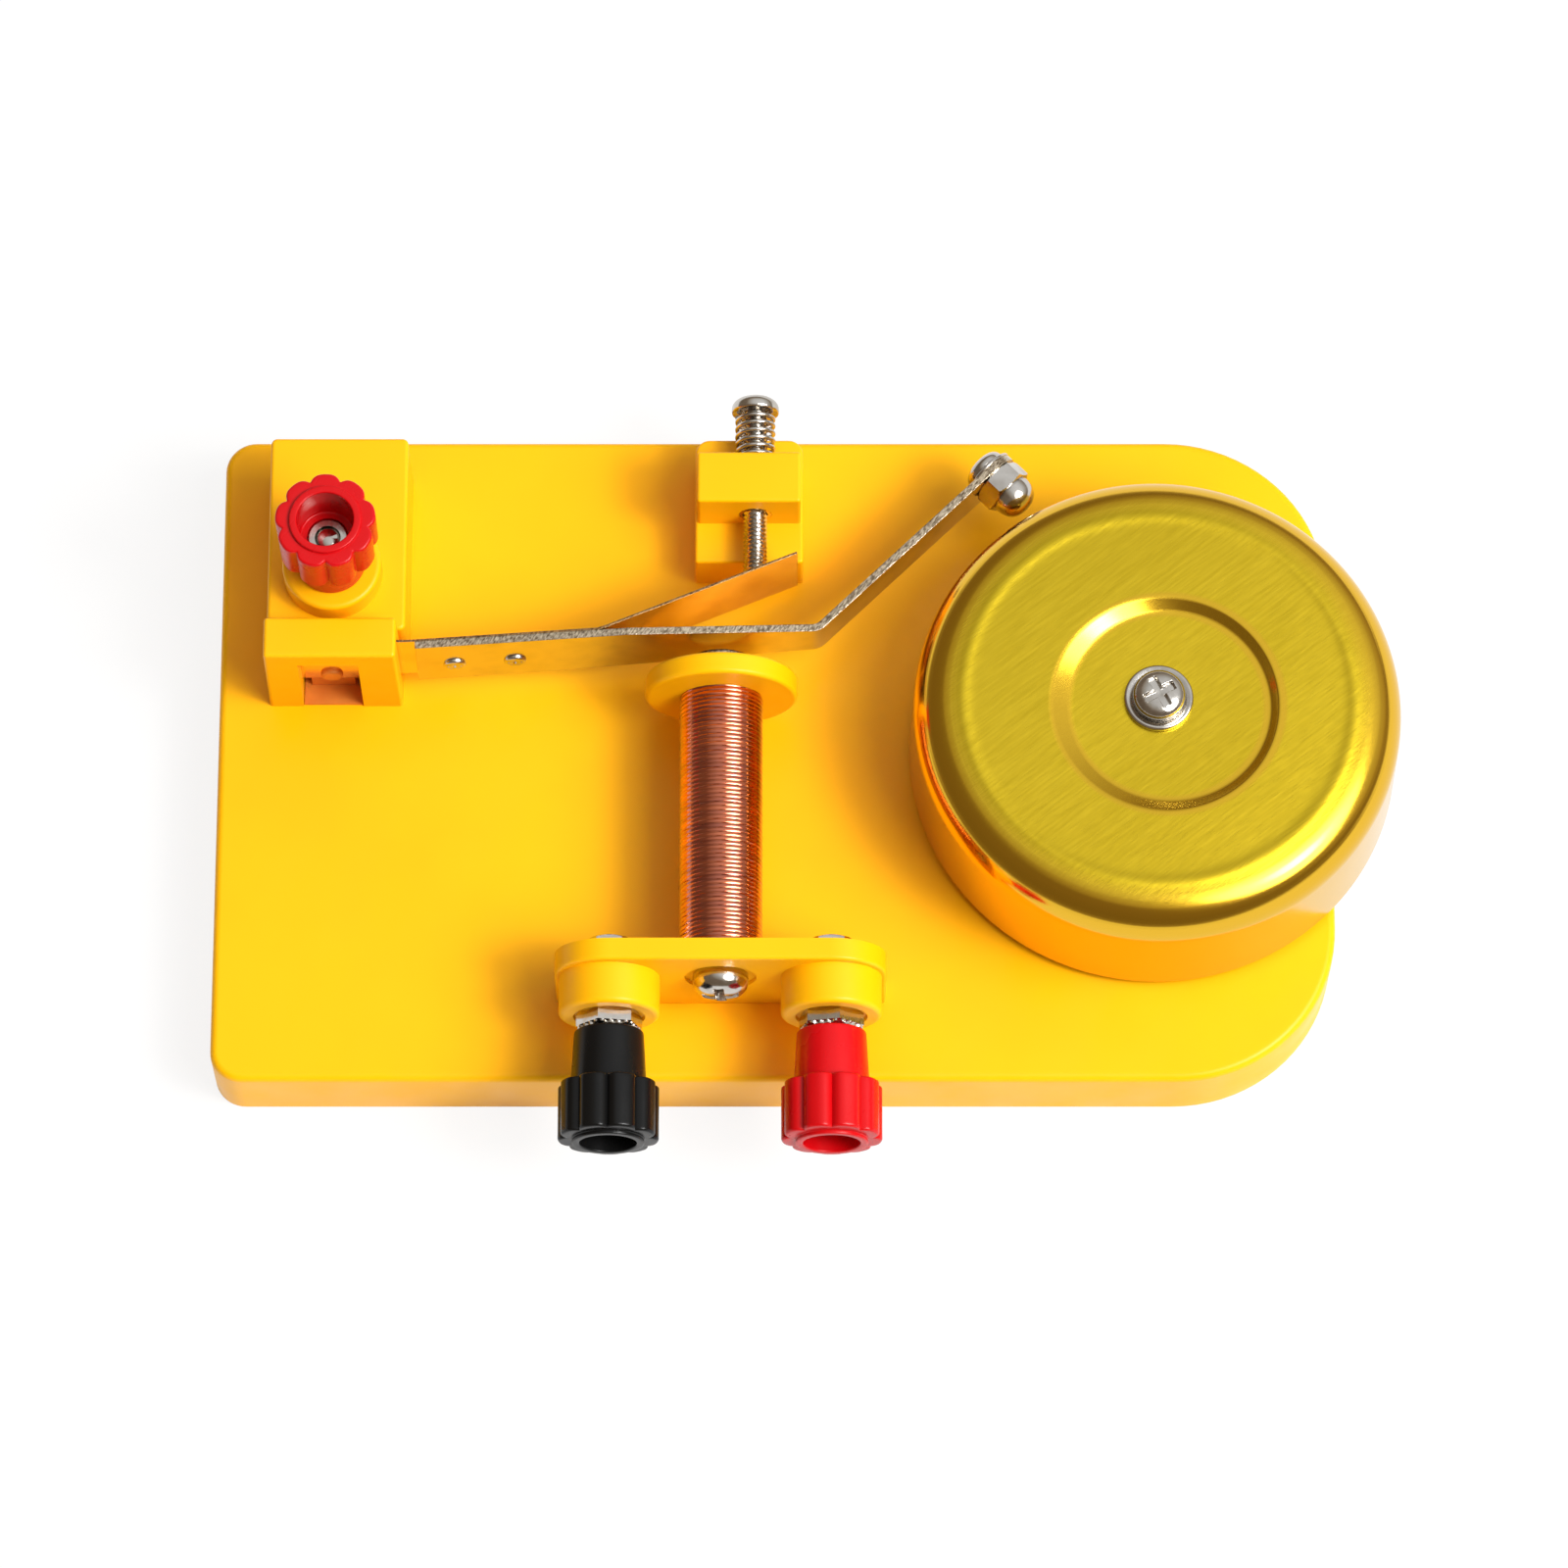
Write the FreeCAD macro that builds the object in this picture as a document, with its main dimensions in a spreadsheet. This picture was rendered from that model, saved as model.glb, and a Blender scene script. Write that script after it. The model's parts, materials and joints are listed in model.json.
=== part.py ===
import FreeCAD, Part
import os
import re
import Sketcher
from FreeCAD import Placement, Rotation, Vector

# Electric bell demonstrator. Millimetres, +Z up, origin at the centre of the base's underside.
# X runs along the base towards the gong, Y runs towards the contact post.

doc = FreeCAD.newDocument("ElectricBell")
sheet = doc.addObject("Spreadsheet::Sheet", "Dims")

sizes = {
    # base moulding, hollow from below
    "base_length": 180, "base_width": 110, "base_height": 14, "base_wall": 2.6,
    "corner_left": 5, "corner_right": 26, "base_round": 1.2,
    "rib_wall": 1.8, "rib_recess": 1, "rib_left": -40, "rib_right": 20, "rib_y": 18,
    "pad_diameter": 8.5, "pad_drop": 3.4,
    # height of the coil axis, the contact screw and the armature above the table
    "axis_height": 27,
    # clearances and small edge rounds
    "slip_gap": 0.05, "seat_gap": 0.2, "hole_gap": 0.1, "slot_play": 0.4,
    "edge_round": 0.6, "boss_round": 0.8, "post_round": 0.5, "thread_bevel": 0.4,
    # clamp bridge, its top measured above the armature's upper edge
    "bridge_x": -70.95, "bridge_front": 8.6, "bridge_depth": 6.8, "bridge_over": 1.6,
    "bridge_top_width": 21.1, "bridge_foot_width": 21.6,
    "window_x": -71.4, "window_width": 9.7, "window_height": 18.45,
    "tab_length": 3.2, "tab_width": 3.6, "tab_left_gap": 0.5, "tab_right_gap": 0.8,
    # terminal block
    "block_x": -70.3, "block_width": 22.2, "block_depth": 33.2, "block_height": 16.9,
    "block_wall": 2.2, "block_corner": 1, "boss_diameter": 15.9, "side_boss_height": 4.6,
    "side_post_x": -70.9, "side_post_y": 25.1, "block_screw_y": 43, "block_screw_spread": 6.4,
    "sleeve_diameter": 6.6, "sleeve_length": 6, "pilot_depth": 8,
    # copper strip from the side terminal to the leaf spring, its ear measured above the rivet
    "strip_thick": 0.45, "strip_width": 9.4, "strip_overhang": 6, "ear_width": 7, "ear_over": 1.9,
    "root_rivet_rise": 2,
    # screw terminals
    "stud_diameter": 4, "nut_flats": 9.2, "nut_thick": 3, "lock_nut_flats": 7, "lock_nut_thick": 2.2,
    "cap_foot_diameter": 11, "cap_neck_diameter": 12, "cap_neck": 8.8, "cap_diameter": 16,
    "cap_flute_length": 8.9, "cap_ring_diameter": 11.4, "cap_ring_height": 0.6, "cap_socket": 9,
    "cap_socket_depth": 7.9, "flute_count": 9, "flute_radius": 1.6, "flute_centre": 8.6,
    "front_cap_turn": 10, "side_cap_turn": 31,
    "bush_diameter": 6.5, "bush_recess": 0.4, "boss_recess": 0.6, "recess_diameter": 11.4,
    "stud_end_gap": 0.2, "nut_overhang": 0.5,
    # coil bracket, its top measured above the coil's axis
    "coil_x": -8.5, "bracket_rear": -38.65, "bracket_thick": 3.5, "bracket_over": 9.35,
    "bracket_end_radius": 8.7,
    "post_spread": 17.55, "boss_diameter_front": 16, "boss_length": 6.55, "foot_spread": 11.83,
    "tag_thick": 0.4, "tag_diameter": 8, "tag_width": 3.4, "tag_reach": 9,
    # coil
    "coil_length": 43.6, "winding_diameter": 13.4, "tube_diameter": 9.8, "core_diameter": 8,
    "flange_diameter": 24.4, "flange_thick": 3.6, "flange_round": 0.7,
    "pole_diameter": 10.4, "pole_length": 3.2, "pole_round": 0.7,
    # machine screws
    "screw_diameter": 3.9, "core_head": 8.9, "core_head_height": 3.9, "core_screw_length": 13,
    # contact post and screw, the column and its foot measured from the screw's axis
    "contact_x": -3.1, "column_x": -4.1, "column_width": 16.7, "column_front": 36.8,
    "column_depth": 8.7, "column_over": 5.7, "column_corner": 2.4,
    "ledge_reach": 6.8, "ledge_rear": 6, "ledge_width": 17.5, "ledge_below": 3.8,
    "contact_bush_diameter": 5.2,
    "column_screw_spread": 5.2, "column_screw_y": 42, "column_pilot_depth": 7,
    "contact_head": 7.7, "contact_head_height": 2.7, "spring_space": 8.9, "contact_gap": 0.3,
    "contact_tip_radius": 1, "spring_diameter": 6.6, "spring_wire": 0.75, "spring_pitch": 1.2,
    # armature: local x runs along it from the point where the leaf bends; its broad part sits
    # higher than the axis by strip_lift
    "hinge_x": -58.8, "hinge_y": 11.9, "armature_tilt": 4, "hinge_gap": 0.3, "strip_lift": 0.8,
    "armature_height": 14, "iron_thick": 1.2, "armature_start": 1.35,
    "top_taper_start": 35.4, "foot_taper_start": 24,
    "bend_reach": 66, "arm_height": 8, "arm_angle": 40.4, "hammer_reach": 39.6, "eye_radius": 4.2,
    "bend_radius": 2, "mitre_reach": 2,
    "rivet_diameter": 2, "rivet_head": 3.6, "rivet_head_height": 0.7,
    "rivet_near": 7.4, "rivet_far": 17.1,
    # leaf spring, its clamped root wider downwards by root_drop
    "leaf_thick": 0.4, "leaf_root": 20.4, "leaf_split": 31, "leaf_angle": 18.5, "leaf_branch": 33.3,
    "root_drop": 2,
    # hammer
    "hammer_hole": 3.1, "hammer_screw_diameter": 3, "hammer_head": 6.4, "hammer_head_height": 2.2,
    "washer_thick": 0.5, "hammer_washer": 7.4, "cap_nut_flats": 7, "cap_nut_hex": 3.4,
    "cap_nut_length": 7.1, "dome_diameter": 6.5, "dome_flat": 0.25,
    # gong
    "gong_x": 60.9, "gong_radius": 39.2, "gong_taper": 0.9, "gong_rim": 15.8, "gong_top": 41.2,
    "gong_shoulder": 7, "gong_sheet": 1, "recess_outer": 18.1, "recess_inner": 15.1, "recess_drop": 1.2,
    "recess_lip": 3, "recess_foot": 2,
    "gong_hole": 4.4, "pillar_diameter": 9, "pillar_foot": 18, "pillar_foot_height": 2.5,
    "pillar_slope": 2, "pillar_pilot_depth": 8,
    "gong_washer": 11, "gong_washer_thick": 1.2, "gong_head": 8.3, "gong_head_height": 2.5,
    "gong_screw_length": 14,
    # self-tapping screws from below
    "tapping_diameter": 3, "tapping_head": 5.6, "tapping_head_height": 2.1, "tapping_length": 12,
}
for row, (alias, size) in enumerate(sizes.items(), 1):
    sheet.set(f"A{row}", alias)
    sheet.set(f"B{row}", str(size))
    sheet.setAlias(f"B{row}", alias)
doc.recompute()


def bound(expression):
    # an expression over the sheet's names, as any object of the document reads it
    return re.sub(r"\b[a-z]\w*\b", lambda m: "Dims." + m[0] if m[0] in sizes else m[0], str(expression))


def value(expression):
    return float(sheet.evalExpression(bound(expression)))


def newBody(label, x="0", y="0", z="0", rotation=Rotation()):
    body = doc.addObject("PartDesign::Body", label)
    body.Label = label
    body.Placement = Placement(Vector(value(x), value(y), value(z)), rotation)
    for axis, expression in zip("xyz", (x, y, z)):
        body.setExpression("Placement.Base." + axis, bound(expression))
    return body


def newSketch(body, name, role, offset="0", turn=None):
    sketch = body.newObject("Sketcher::SketchObject", name)
    plane = [item for item in body.Origin.OriginFeatures if item.Role == role][0]
    sketch.AttachmentSupport = [(plane, "")]
    sketch.MapMode = "FlatFace"
    if turn:
        sketch.AttachmentOffset = turn
    sketch.setExpression("AttachmentOffset.Base.z", bound(offset))
    return sketch


def pinPoint(sketch, geometry, position, x, y):
    # ties a point of the sketch to two expressions; zero puts it on the axis
    for kind, axis, expression in (("DistanceX", -2, x), ("DistanceY", -1, y)):
        if expression == "0":
            sketch.addConstraint(Sketcher.Constraint("PointOnObject", geometry, position, axis))
            continue
        index = sketch.addConstraint(
            Sketcher.Constraint(kind, -1, 1, geometry, position, value(expression)))
        sketch.setExpression(f"Constraints[{index}]", bound(expression))


def polygon(sketch, points):
    # closed outline through points given as expressions
    first = sketch.GeometryCount
    places = [Vector(value(x), value(y), 0) for x, y in points]
    count = len(points)
    for i in range(count):
        sketch.addGeometry(Part.LineSegment(places[i], places[(i + 1) % count]))
    for i in range(count):
        sketch.addConstraint(Sketcher.Constraint("Coincident", first + i, 2, first + (i + 1) % count, 1))
    for i, (x, y) in enumerate(points):
        pinPoint(sketch, first + i, 1, x, y)


def box(sketch, left, right, low, high):
    polygon(sketch, [(left, low), (right, low), (right, high), (left, high)])


def circle(sketch, x, y, diameter):
    index = sketch.addGeometry(Part.Circle(Vector(value(x), value(y), 0), Vector(0, 0, 1),
                                           value(diameter) / 2))
    pinPoint(sketch, index, 3, x, y)
    size = sketch.addConstraint(Sketcher.Constraint("Diameter", index, value(diameter)))
    sketch.setExpression(f"Constraints[{size}]", bound(diameter))


def hexagon(sketch, flats):
    corners = [(f"{flats} / 2 / cos(30) * cos({60 * k})", f"{flats} / 2 / cos(30) * sin({60 * k})")
               for k in range(6)]
    corners[0] = (corners[0][0], "0")
    corners[3] = (corners[3][0], "0")
    polygon(sketch, corners)


def pad(body, sketch, length, reverse=False, midplane=False):
    feature = body.newObject("PartDesign::Pad", sketch.Name + "Pad")
    feature.Profile = sketch
    feature.Reversed = reverse
    feature.Midplane = midplane
    feature.setExpression("Length", bound(length))
    doc.recompute()
    return feature


def pocket(body, sketch, length, reverse=False, midplane=False):
    before = body.Shape.Volume
    feature = body.newObject("PartDesign::Pocket", sketch.Name + "Pocket")
    feature.Profile = sketch
    feature.Reversed = reverse
    feature.Midplane = midplane
    feature.setExpression("Length", bound(length))
    doc.recompute()
    if body.Shape.Volume > before - 0.01:
        raise RuntimeError(f"{body.Label}: {sketch.Name} cuts nothing")
    return feature


def turnProfile(body, sketch, cut=False, axis="V_Axis"):
    kind = "Groove" if cut else "Revolution"
    feature = body.newObject("PartDesign::" + kind, sketch.Name + kind)
    feature.Profile = sketch
    feature.ReferenceAxis = (sketch, [axis])
    feature.Angle = 360
    doc.recompute()
    return feature


def edgesOf(feature, test):
    return [f"Edge{i}" for i, edge in enumerate(feature.Shape.Edges, 1) if test(edge)]


def isRing(radius, height, axis="z"):
    # a full circle of that radius about the local axis, at that height along it
    def test(edge):
        if not isinstance(edge.Curve, Part.Circle):
            return False
        return (abs(edge.Curve.Radius - value(radius)) < 1e-3
                and abs(getattr(edge.CenterOfMass, axis) - value(height)) < 1e-3)
    return test


def isUpright(edge):
    run = edge.BoundBox
    return run.ZLength > 1 and run.XLength < 1e-3 and run.YLength < 1e-3


def roundEdges(body, base, name, radius, test):
    names = edgesOf(base, test)
    if not names:
        raise RuntimeError(f"{body.Label}: no edge for {name}")
    feature = body.newObject("PartDesign::Fillet", name)
    feature.Base = (base, names)
    feature.setExpression("Radius", bound(radius))
    doc.recompute()
    return feature


def hollow(body, base, name, wall, test):
    feature = body.newObject("PartDesign::Thickness", name)
    feature.Base = (base, [f"Face{i}" for i, face in enumerate(base.Shape.Faces, 1) if test(face)])
    feature.setExpression("Value", bound(wall))
    feature.Reversed = True
    doc.recompute()
    return feature


def isFloor(face):
    return face.BoundBox.ZLength < 1e-3 and abs(face.BoundBox.ZMin - low) < 1e-3


# ---- base ----
base = newBody("base_plate")
outline = newSketch(base, "BaseOutline", "XY_Plane")
box(outline, "-base_length / 2", "base_length / 2", "-base_width / 2", "base_width / 2")
slab = pad(base, outline, "base_height")
slab = roundEdges(base, slab, "LeftCorners", "corner_left",
                  lambda e: isUpright(e) and e.CenterOfMass.x < 0)
slab = roundEdges(base, slab, "RightCorners", "corner_right",
                  lambda e: isUpright(e) and e.CenterOfMass.x > 0 and abs(e.CenterOfMass.y) > 1
                  and abs(e.CenterOfMass.x - value("base_length / 2")) < 1e-3)
low = 0
slab = hollow(base, slab, "BaseShell", "base_wall", isFloor)
roundEdges(base, slab, "TopEdge", "base_round",
           lambda e: abs(e.CenterOfMass.z - value("base_height")) < 1e-3)

ribRise = "base_height - base_wall / 2 - rib_recess"
across = newSketch(base, "RibsAcross", "XY_Plane", "rib_recess")
for centre in ("rib_left", "rib_right"):
    box(across, f"{centre} - rib_wall / 2", f"{centre} + rib_wall / 2",
        "-base_width / 2 + base_wall / 2", "base_width / 2 - base_wall / 2")
pad(base, across, ribRise)
along = newSketch(base, "RibsAlong", "XY_Plane", "rib_recess")
for centre in ("-rib_y", "rib_y"):
    box(along, "-base_length / 2 + base_wall / 2", "base_length / 2 - base_wall / 2",
        f"{centre} - rib_wall / 2", f"{centre} + rib_wall / 2")
pad(base, along, ribRise)

tappingPlaces = [
    ("gong_x", "0"),
    ("column_x - column_screw_spread", "column_screw_y"),
    ("column_x + column_screw_spread", "column_screw_y"),
    ("block_x - block_screw_spread", "block_screw_y"),
    ("block_x + block_screw_spread", "block_screw_y"),
]
padSketch = newSketch(base, "ScrewPads", "XY_Plane", "base_height - base_wall - pad_drop")
for x, y in tappingPlaces:
    circle(padSketch, x, y, "pad_diameter")
pad(base, padSketch, "pad_drop + base_wall / 2")
holeSketch = newSketch(base, "ScrewHoles", "XY_Plane", "base_height")
for x, y in tappingPlaces:
    circle(holeSketch, x, y, "tapping_diameter + 2 * hole_gap")
circle(holeSketch, "side_post_x", "side_post_y", "stud_diameter + 2 * hole_gap")
pocket(base, holeSketch, "base_height")
bracketTabs = [("coil_x - foot_spread", "bracket_rear - bracket_thick / 2"),
               ("coil_x + foot_spread", "bracket_rear - bracket_thick / 2")]
bridgeTabs = [("window_x - window_width / 2 - tab_width / 2 - tab_left_gap",
               "bridge_front + bridge_depth / 2"),
              ("window_x + window_width / 2 + tab_width / 2 + tab_right_gap",
               "bridge_front + bridge_depth / 2")]
tabHalf = "(tab_width / 2 - slot_play - hole_gap)"
slotSketch = newSketch(base, "TabSlots", "XY_Plane", "base_height")
for x, y in bracketTabs:
    box(slotSketch, f"{x} - tab_length", f"{x} + tab_length",
        f"{y} - {tabHalf} - hole_gap", f"{y} + {tabHalf} + hole_gap")
for x, y in bridgeTabs:
    box(slotSketch, f"{x} - {tabHalf} - hole_gap", f"{x} + {tabHalf} + hole_gap",
        f"{y} - tab_length / 2 - hole_gap", f"{y} + tab_length / 2 + hole_gap")
pocket(base, slotSketch, "base_wall + 1")

# ---- clamp bridge: an inverted U that the leaf's root slides into from the right ----
bridge = newBody("clamp_bridge", "bridge_x", "bridge_front", "base_height")
face = newSketch(bridge, "BridgeFace", "XZ_Plane")
windowLeft = "window_x - bridge_x - window_width / 2"
windowRight = "window_x - bridge_x + window_width / 2"
axisRise = "(axis_height - base_height)"
leafTop = f"({axisRise} + strip_lift + armature_height / 2)"
rootFoot = f"({axisRise} + strip_lift - armature_height / 2 - root_drop)"
bridgeTop = f"({leafTop} + bridge_over)"
polygon(face, [("-bridge_foot_width / 2", "0"), (windowLeft, "0"), (windowLeft, "window_height"),
               (windowRight, "window_height"), (windowRight, "0"), ("bridge_foot_width / 2", "0"),
               ("bridge_top_width / 2", bridgeTop), ("-bridge_top_width / 2", bridgeTop)])
arch = pad(bridge, face, "bridge_depth", reverse=True)


def isBridgeEdge(edge):
    middle, run = edge.CenterOfMass, edge.BoundBox
    outside = abs(middle.x) > value("bridge_top_width / 2") - 1e-3
    top = abs(middle.z - value(bridgeTop)) < 1e-3
    return (outside and not (middle.z < 1e-3)) or (top and run.XLength > 1)


arch = roundEdges(bridge, arch, "BridgeRound", "edge_round", isBridgeEdge)
slot = newSketch(bridge, "LeafSlot", "XY_Plane", f"{leafTop} + seat_gap")
slotHalf = "(leaf_thick / 2 + slip_gap)"
box(slot, "hinge_x - leaf_root - bridge_x - seat_gap", "bridge_foot_width / 2 + 1",
    f"hinge_y - bridge_front - {slotHalf}", f"hinge_y - bridge_front + {slotHalf}")
pocket(bridge, slot, f"{leafTop} - {rootFoot} + 2 * seat_gap")
tabs = newSketch(bridge, "BridgeTabs", "XY_Plane")
for x, y in bridgeTabs:
    box(tabs, f"{x} - bridge_x - {tabHalf}", f"{x} - bridge_x + {tabHalf}",
        f"{y} - bridge_front - tab_length / 2", f"{y} - bridge_front + tab_length / 2")
pad(bridge, tabs, "base_wall", reverse=True)

# ---- terminal block, hollow from below ----
block = newBody("terminal_block", "block_x", "bridge_front + bridge_depth", "base_height")
plan = newSketch(block, "BlockPlan", "XY_Plane")
box(plan, "-block_width / 2", "block_width / 2", "0", "block_depth")
brick = pad(block, plan, "block_height")
brick = hollow(block, brick, "BlockShell", "block_wall", isFloor)
brick = roundEdges(block, brick, "BlockCorners", "block_corner",
                   lambda e: isUpright(e) and abs(e.CenterOfMass.x) > value("block_width / 2") - 1e-3)
roundEdges(block, brick, "BlockTop", "edge_round",
           lambda e: abs(e.CenterOfMass.z - value("block_height")) < 1e-3)
postX, postY = "side_post_x - block_x", "side_post_y - bridge_front - bridge_depth"
boss = newSketch(block, "BlockBoss", "XY_Plane", "block_height - block_wall / 2")
circle(boss, postX, postY, "boss_diameter")
crown = pad(block, boss, "side_boss_height + block_wall / 2")
roundEdges(block, crown, "BossRound", "boss_round",
           isRing("boss_diameter / 2", "block_height + side_boss_height"))
sleeves = newSketch(block, "BlockSleeves", "XY_Plane", "block_height - block_wall / 2")
circle(sleeves, postX, postY, "stud_diameter + 2 * block_wall")
pad(block, sleeves, "sleeve_length", reverse=True)
columns = newSketch(block, "BlockColumns", "XY_Plane")
for side in ("-", "+"):
    circle(columns, f"0 {side} block_screw_spread", "block_screw_y - bridge_front - bridge_depth",
           "sleeve_diameter")
pad(block, columns, "block_height - block_wall / 2")
bores = newSketch(block, "BlockBores", "XY_Plane")
circle(bores, postX, postY, "stud_diameter + 2 * hole_gap")
pocket(block, bores, "block_height + side_boss_height + 1", reverse=True)
pilots = newSketch(block, "BlockPilots", "XY_Plane")
for side in ("-", "+"):
    circle(pilots, f"0 {side} block_screw_spread", "block_screw_y - bridge_front - bridge_depth",
           "tapping_diameter + 2 * slip_gap")
pocket(block, pilots, "pilot_depth", reverse=True)
channel = newSketch(block, "StripChannel", "XY_Plane")
box(channel, "window_x - block_x - strip_width / 2 - seat_gap",
    "window_x - block_x + strip_width / 2 + seat_gap", "-1", "block_wall + 1")
pocket(block, channel, "strip_thick + seat_gap", reverse=True)

# ---- copper strip with a lanced ear that carries the leaf's root ----
strip = newBody("terminal_strip", "window_x", "0", "base_height")
run = newSketch(strip, "StripPlan", "XY_Plane")
box(run, "-strip_width / 2", "strip_width / 2", "bridge_front + seat_gap",
    "side_post_y + strip_overhang")
pad(strip, run, "strip_thick")
earFront = "hinge_y + leaf_thick / 2"
rivetRise = f"({rootFoot} + root_rivet_rise)"
ear = newSketch(strip, "StripEar", "XY_Plane")
box(ear, "-ear_width / 2", "ear_width / 2", earFront, f"{earFront} + strip_thick")
pad(strip, ear, f"{rivetRise} + ear_over")
opening = newSketch(strip, "StripOpening", "XY_Plane", "strip_thick")
box(opening, "-ear_width / 2", "ear_width / 2", f"{earFront} + strip_thick",
    f"{earFront} + {rivetRise} + ear_over")
pocket(strip, opening, "strip_thick + 1")
stripHole = newSketch(strip, "StripHole", "XY_Plane", "strip_thick")
circle(stripHole, "side_post_x - window_x", "side_post_y", "stud_diameter + 2 * hole_gap")
pocket(strip, stripHole, "strip_thick + 1")
earHole = newSketch(strip, "EarHole", "XZ_Plane", "1 - hinge_y")
circle(earHole, "0", rivetRise, "rivet_diameter + 2 * slip_gap")
pocket(strip, earHole, "leaf_thick + strip_thick + 2")


# ---- leaf spring: clamped root ----
def rivetBores(body, places, rise, offset="0"):
    # through a sheet that lies about the sketch's plane
    holes = newSketch(body, body.Name + "Holes", "XZ_Plane", offset)
    for x in places:
        circle(holes, x, rise, "rivet_diameter + 2 * slip_gap")
    pocket(body, holes, "2 * iron_thick", midplane=True)


root = newBody("leaf_root", "hinge_x", "hinge_y", "base_height")
rootFace = newSketch(root, "RootFace", "XZ_Plane")
rootStep = "bridge_x + bridge_top_width / 2 - hinge_x - seat_gap"
polygon(rootFace, [("-leaf_root", rootFoot), (rootStep, rootFoot), (rootStep, f"{rootFoot} + root_drop"),
                   ("-hinge_gap / 2", f"{rootFoot} + root_drop"), ("-hinge_gap / 2", leafTop),
                   ("-leaf_root", leafTop)])
pad(root, rootFace, "leaf_thick", midplane=True)
rivetBores(root, ["window_x - hinge_x"], rivetRise)


# ---- rivets, nuts, screws ----
def ringOrPin(body, name, profile):
    sketch = newSketch(body, name, "XZ_Plane")
    polygon(sketch, profile)
    return turnProfile(body, sketch)


def rivet(label, grip, x, y, z, rotation):
    # local z from -grip / 2 to grip / 2 is inside the joined sheets
    body = newBody(label, x, y, z, rotation)
    half = f"({grip}) / 2"
    end = f"({half} + rivet_head_height)"
    pin = ringOrPin(body, label + "Profile", [
        ("0", f"-{end}"), ("rivet_head / 2", f"-{end}"), ("rivet_head / 2", f"-{half}"),
        ("rivet_diameter / 2", f"-{half}"), ("rivet_diameter / 2", half), ("rivet_head / 2", half),
        ("rivet_head / 2", end), ("0", end)])
    outer = isRing("rivet_head / 2", end)
    lower = isRing("rivet_head / 2", f"-{end}")
    roundEdges(body, pin, label + "Round", "rivet_head_height * 0.8", lambda e: outer(e) or lower(e))
    return body


def hexNut(label, flats, thick, bore, x, y, z, rotation=Rotation()):
    # stands on local z = 0
    body = newBody(label, x, y, z, rotation)
    outer = newSketch(body, label + "Hex", "XY_Plane")
    hexagon(outer, flats)
    circle(outer, "0", "0", bore)
    pad(body, outer, thick)
    corner = newSketch(body, label + "Chamfer", "XZ_Plane")
    reach = f"({flats} / 2 / cos(30) + 0.3)"
    drop = f"({reach} - {flats} / 2) * tan(30)"
    polygon(corner, [(f"{flats} / 2", thick), (reach, f"{thick} - {drop}"), (reach, thick)])
    turnProfile(body, corner, cut=True)
    return body


def crossRecess(body, top, span, width, depth):
    cross = newSketch(body, body.Name + "Cross", "XY_Plane", top)
    s, w = f"{span} / 2", f"{width} / 2"
    polygon(cross, [(f"-{s}", f"-{w}"), (f"-{w}", f"-{w}"), (f"-{w}", f"-{s}"), (w, f"-{s}"),
                    (w, f"-{w}"), (s, f"-{w}"), (s, w), (w, w), (w, s), (f"-{w}", s),
                    (f"-{w}", w), (f"-{s}", w)])
    pocket(body, cross, depth)


def panScrew(label, head, headHeight, shank, length, x, y, z, rotation=Rotation(), tip=None):
    # local z = 0 is under the head, the shank points to -z
    body = newBody(label, x, y, z, rotation)
    half = f"{shank} / 2"
    end = tip or f"{half} - 0.4"
    slope = f"({half} - ({end}))"
    profile = [("0", f"-({length})"), (end, f"-({length})"), (half, f"-({length}) + {slope}"),
               (half, "0"), (f"{head} / 2", "0"), (f"{head} / 2", headHeight), ("0", headHeight)]
    turned = ringOrPin(body, label + "Profile", profile)
    roundEdges(body, turned, label + "Round", f"{headHeight} * 0.72",
               isRing(f"{head} / 2", headHeight))
    crossRecess(body, headHeight, f"{head} * 0.56", f"{head} * 0.14", f"{headHeight} * 0.6")
    return body


def group(label, members):
    compound = doc.addObject("Part::Compound", label)
    compound.Label = label
    compound.Links = members
    doc.recompute()
    return compound


toFront = Rotation(Vector(1, 0, 0), 90)
toRear = Rotation(Vector(1, 0, 0), -90)
leafRivet = rivet("leaf_rivet", "leaf_thick + strip_thick", "window_x", "hinge_y + strip_thick / 2",
                  f"base_height + {rivetRise}", toFront)

# ---- screw terminals: local z = 0 is the boss face, +z points outwards ----
def stud(label, below, above, x, y, z, rotation=Rotation()):
    body = newBody(label, x, y, z, rotation)
    half, slope = "stud_diameter / 2", "thread_bevel"
    ringOrPin(body, label + "Profile", [
        ("0", f"-({below})"), (f"{half} - {slope}", f"-({below})"), (half, f"-({below}) + {slope}"),
        (half, f"{above} - {slope}"), (f"{half} - {slope}", above), ("0", above)])
    return body


def bush(label, x, y, z, rotation=Rotation()):
    # threaded metal insert in the cap's neck
    body = newBody(label, x, y, z, rotation)
    rise = "cap_neck + cap_flute_length + cap_ring_height - cap_socket_depth"
    inner, outer = "stud_diameter / 2 + slip_gap", "bush_diameter / 2"
    ringOrPin(body, label + "Profile", [
        (inner, "bush_recess"), (outer, "bush_recess"), (outer, f"{rise} - 0.3"),
        (f"{outer} - 0.3", rise), (inner, rise)])
    return body


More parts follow.
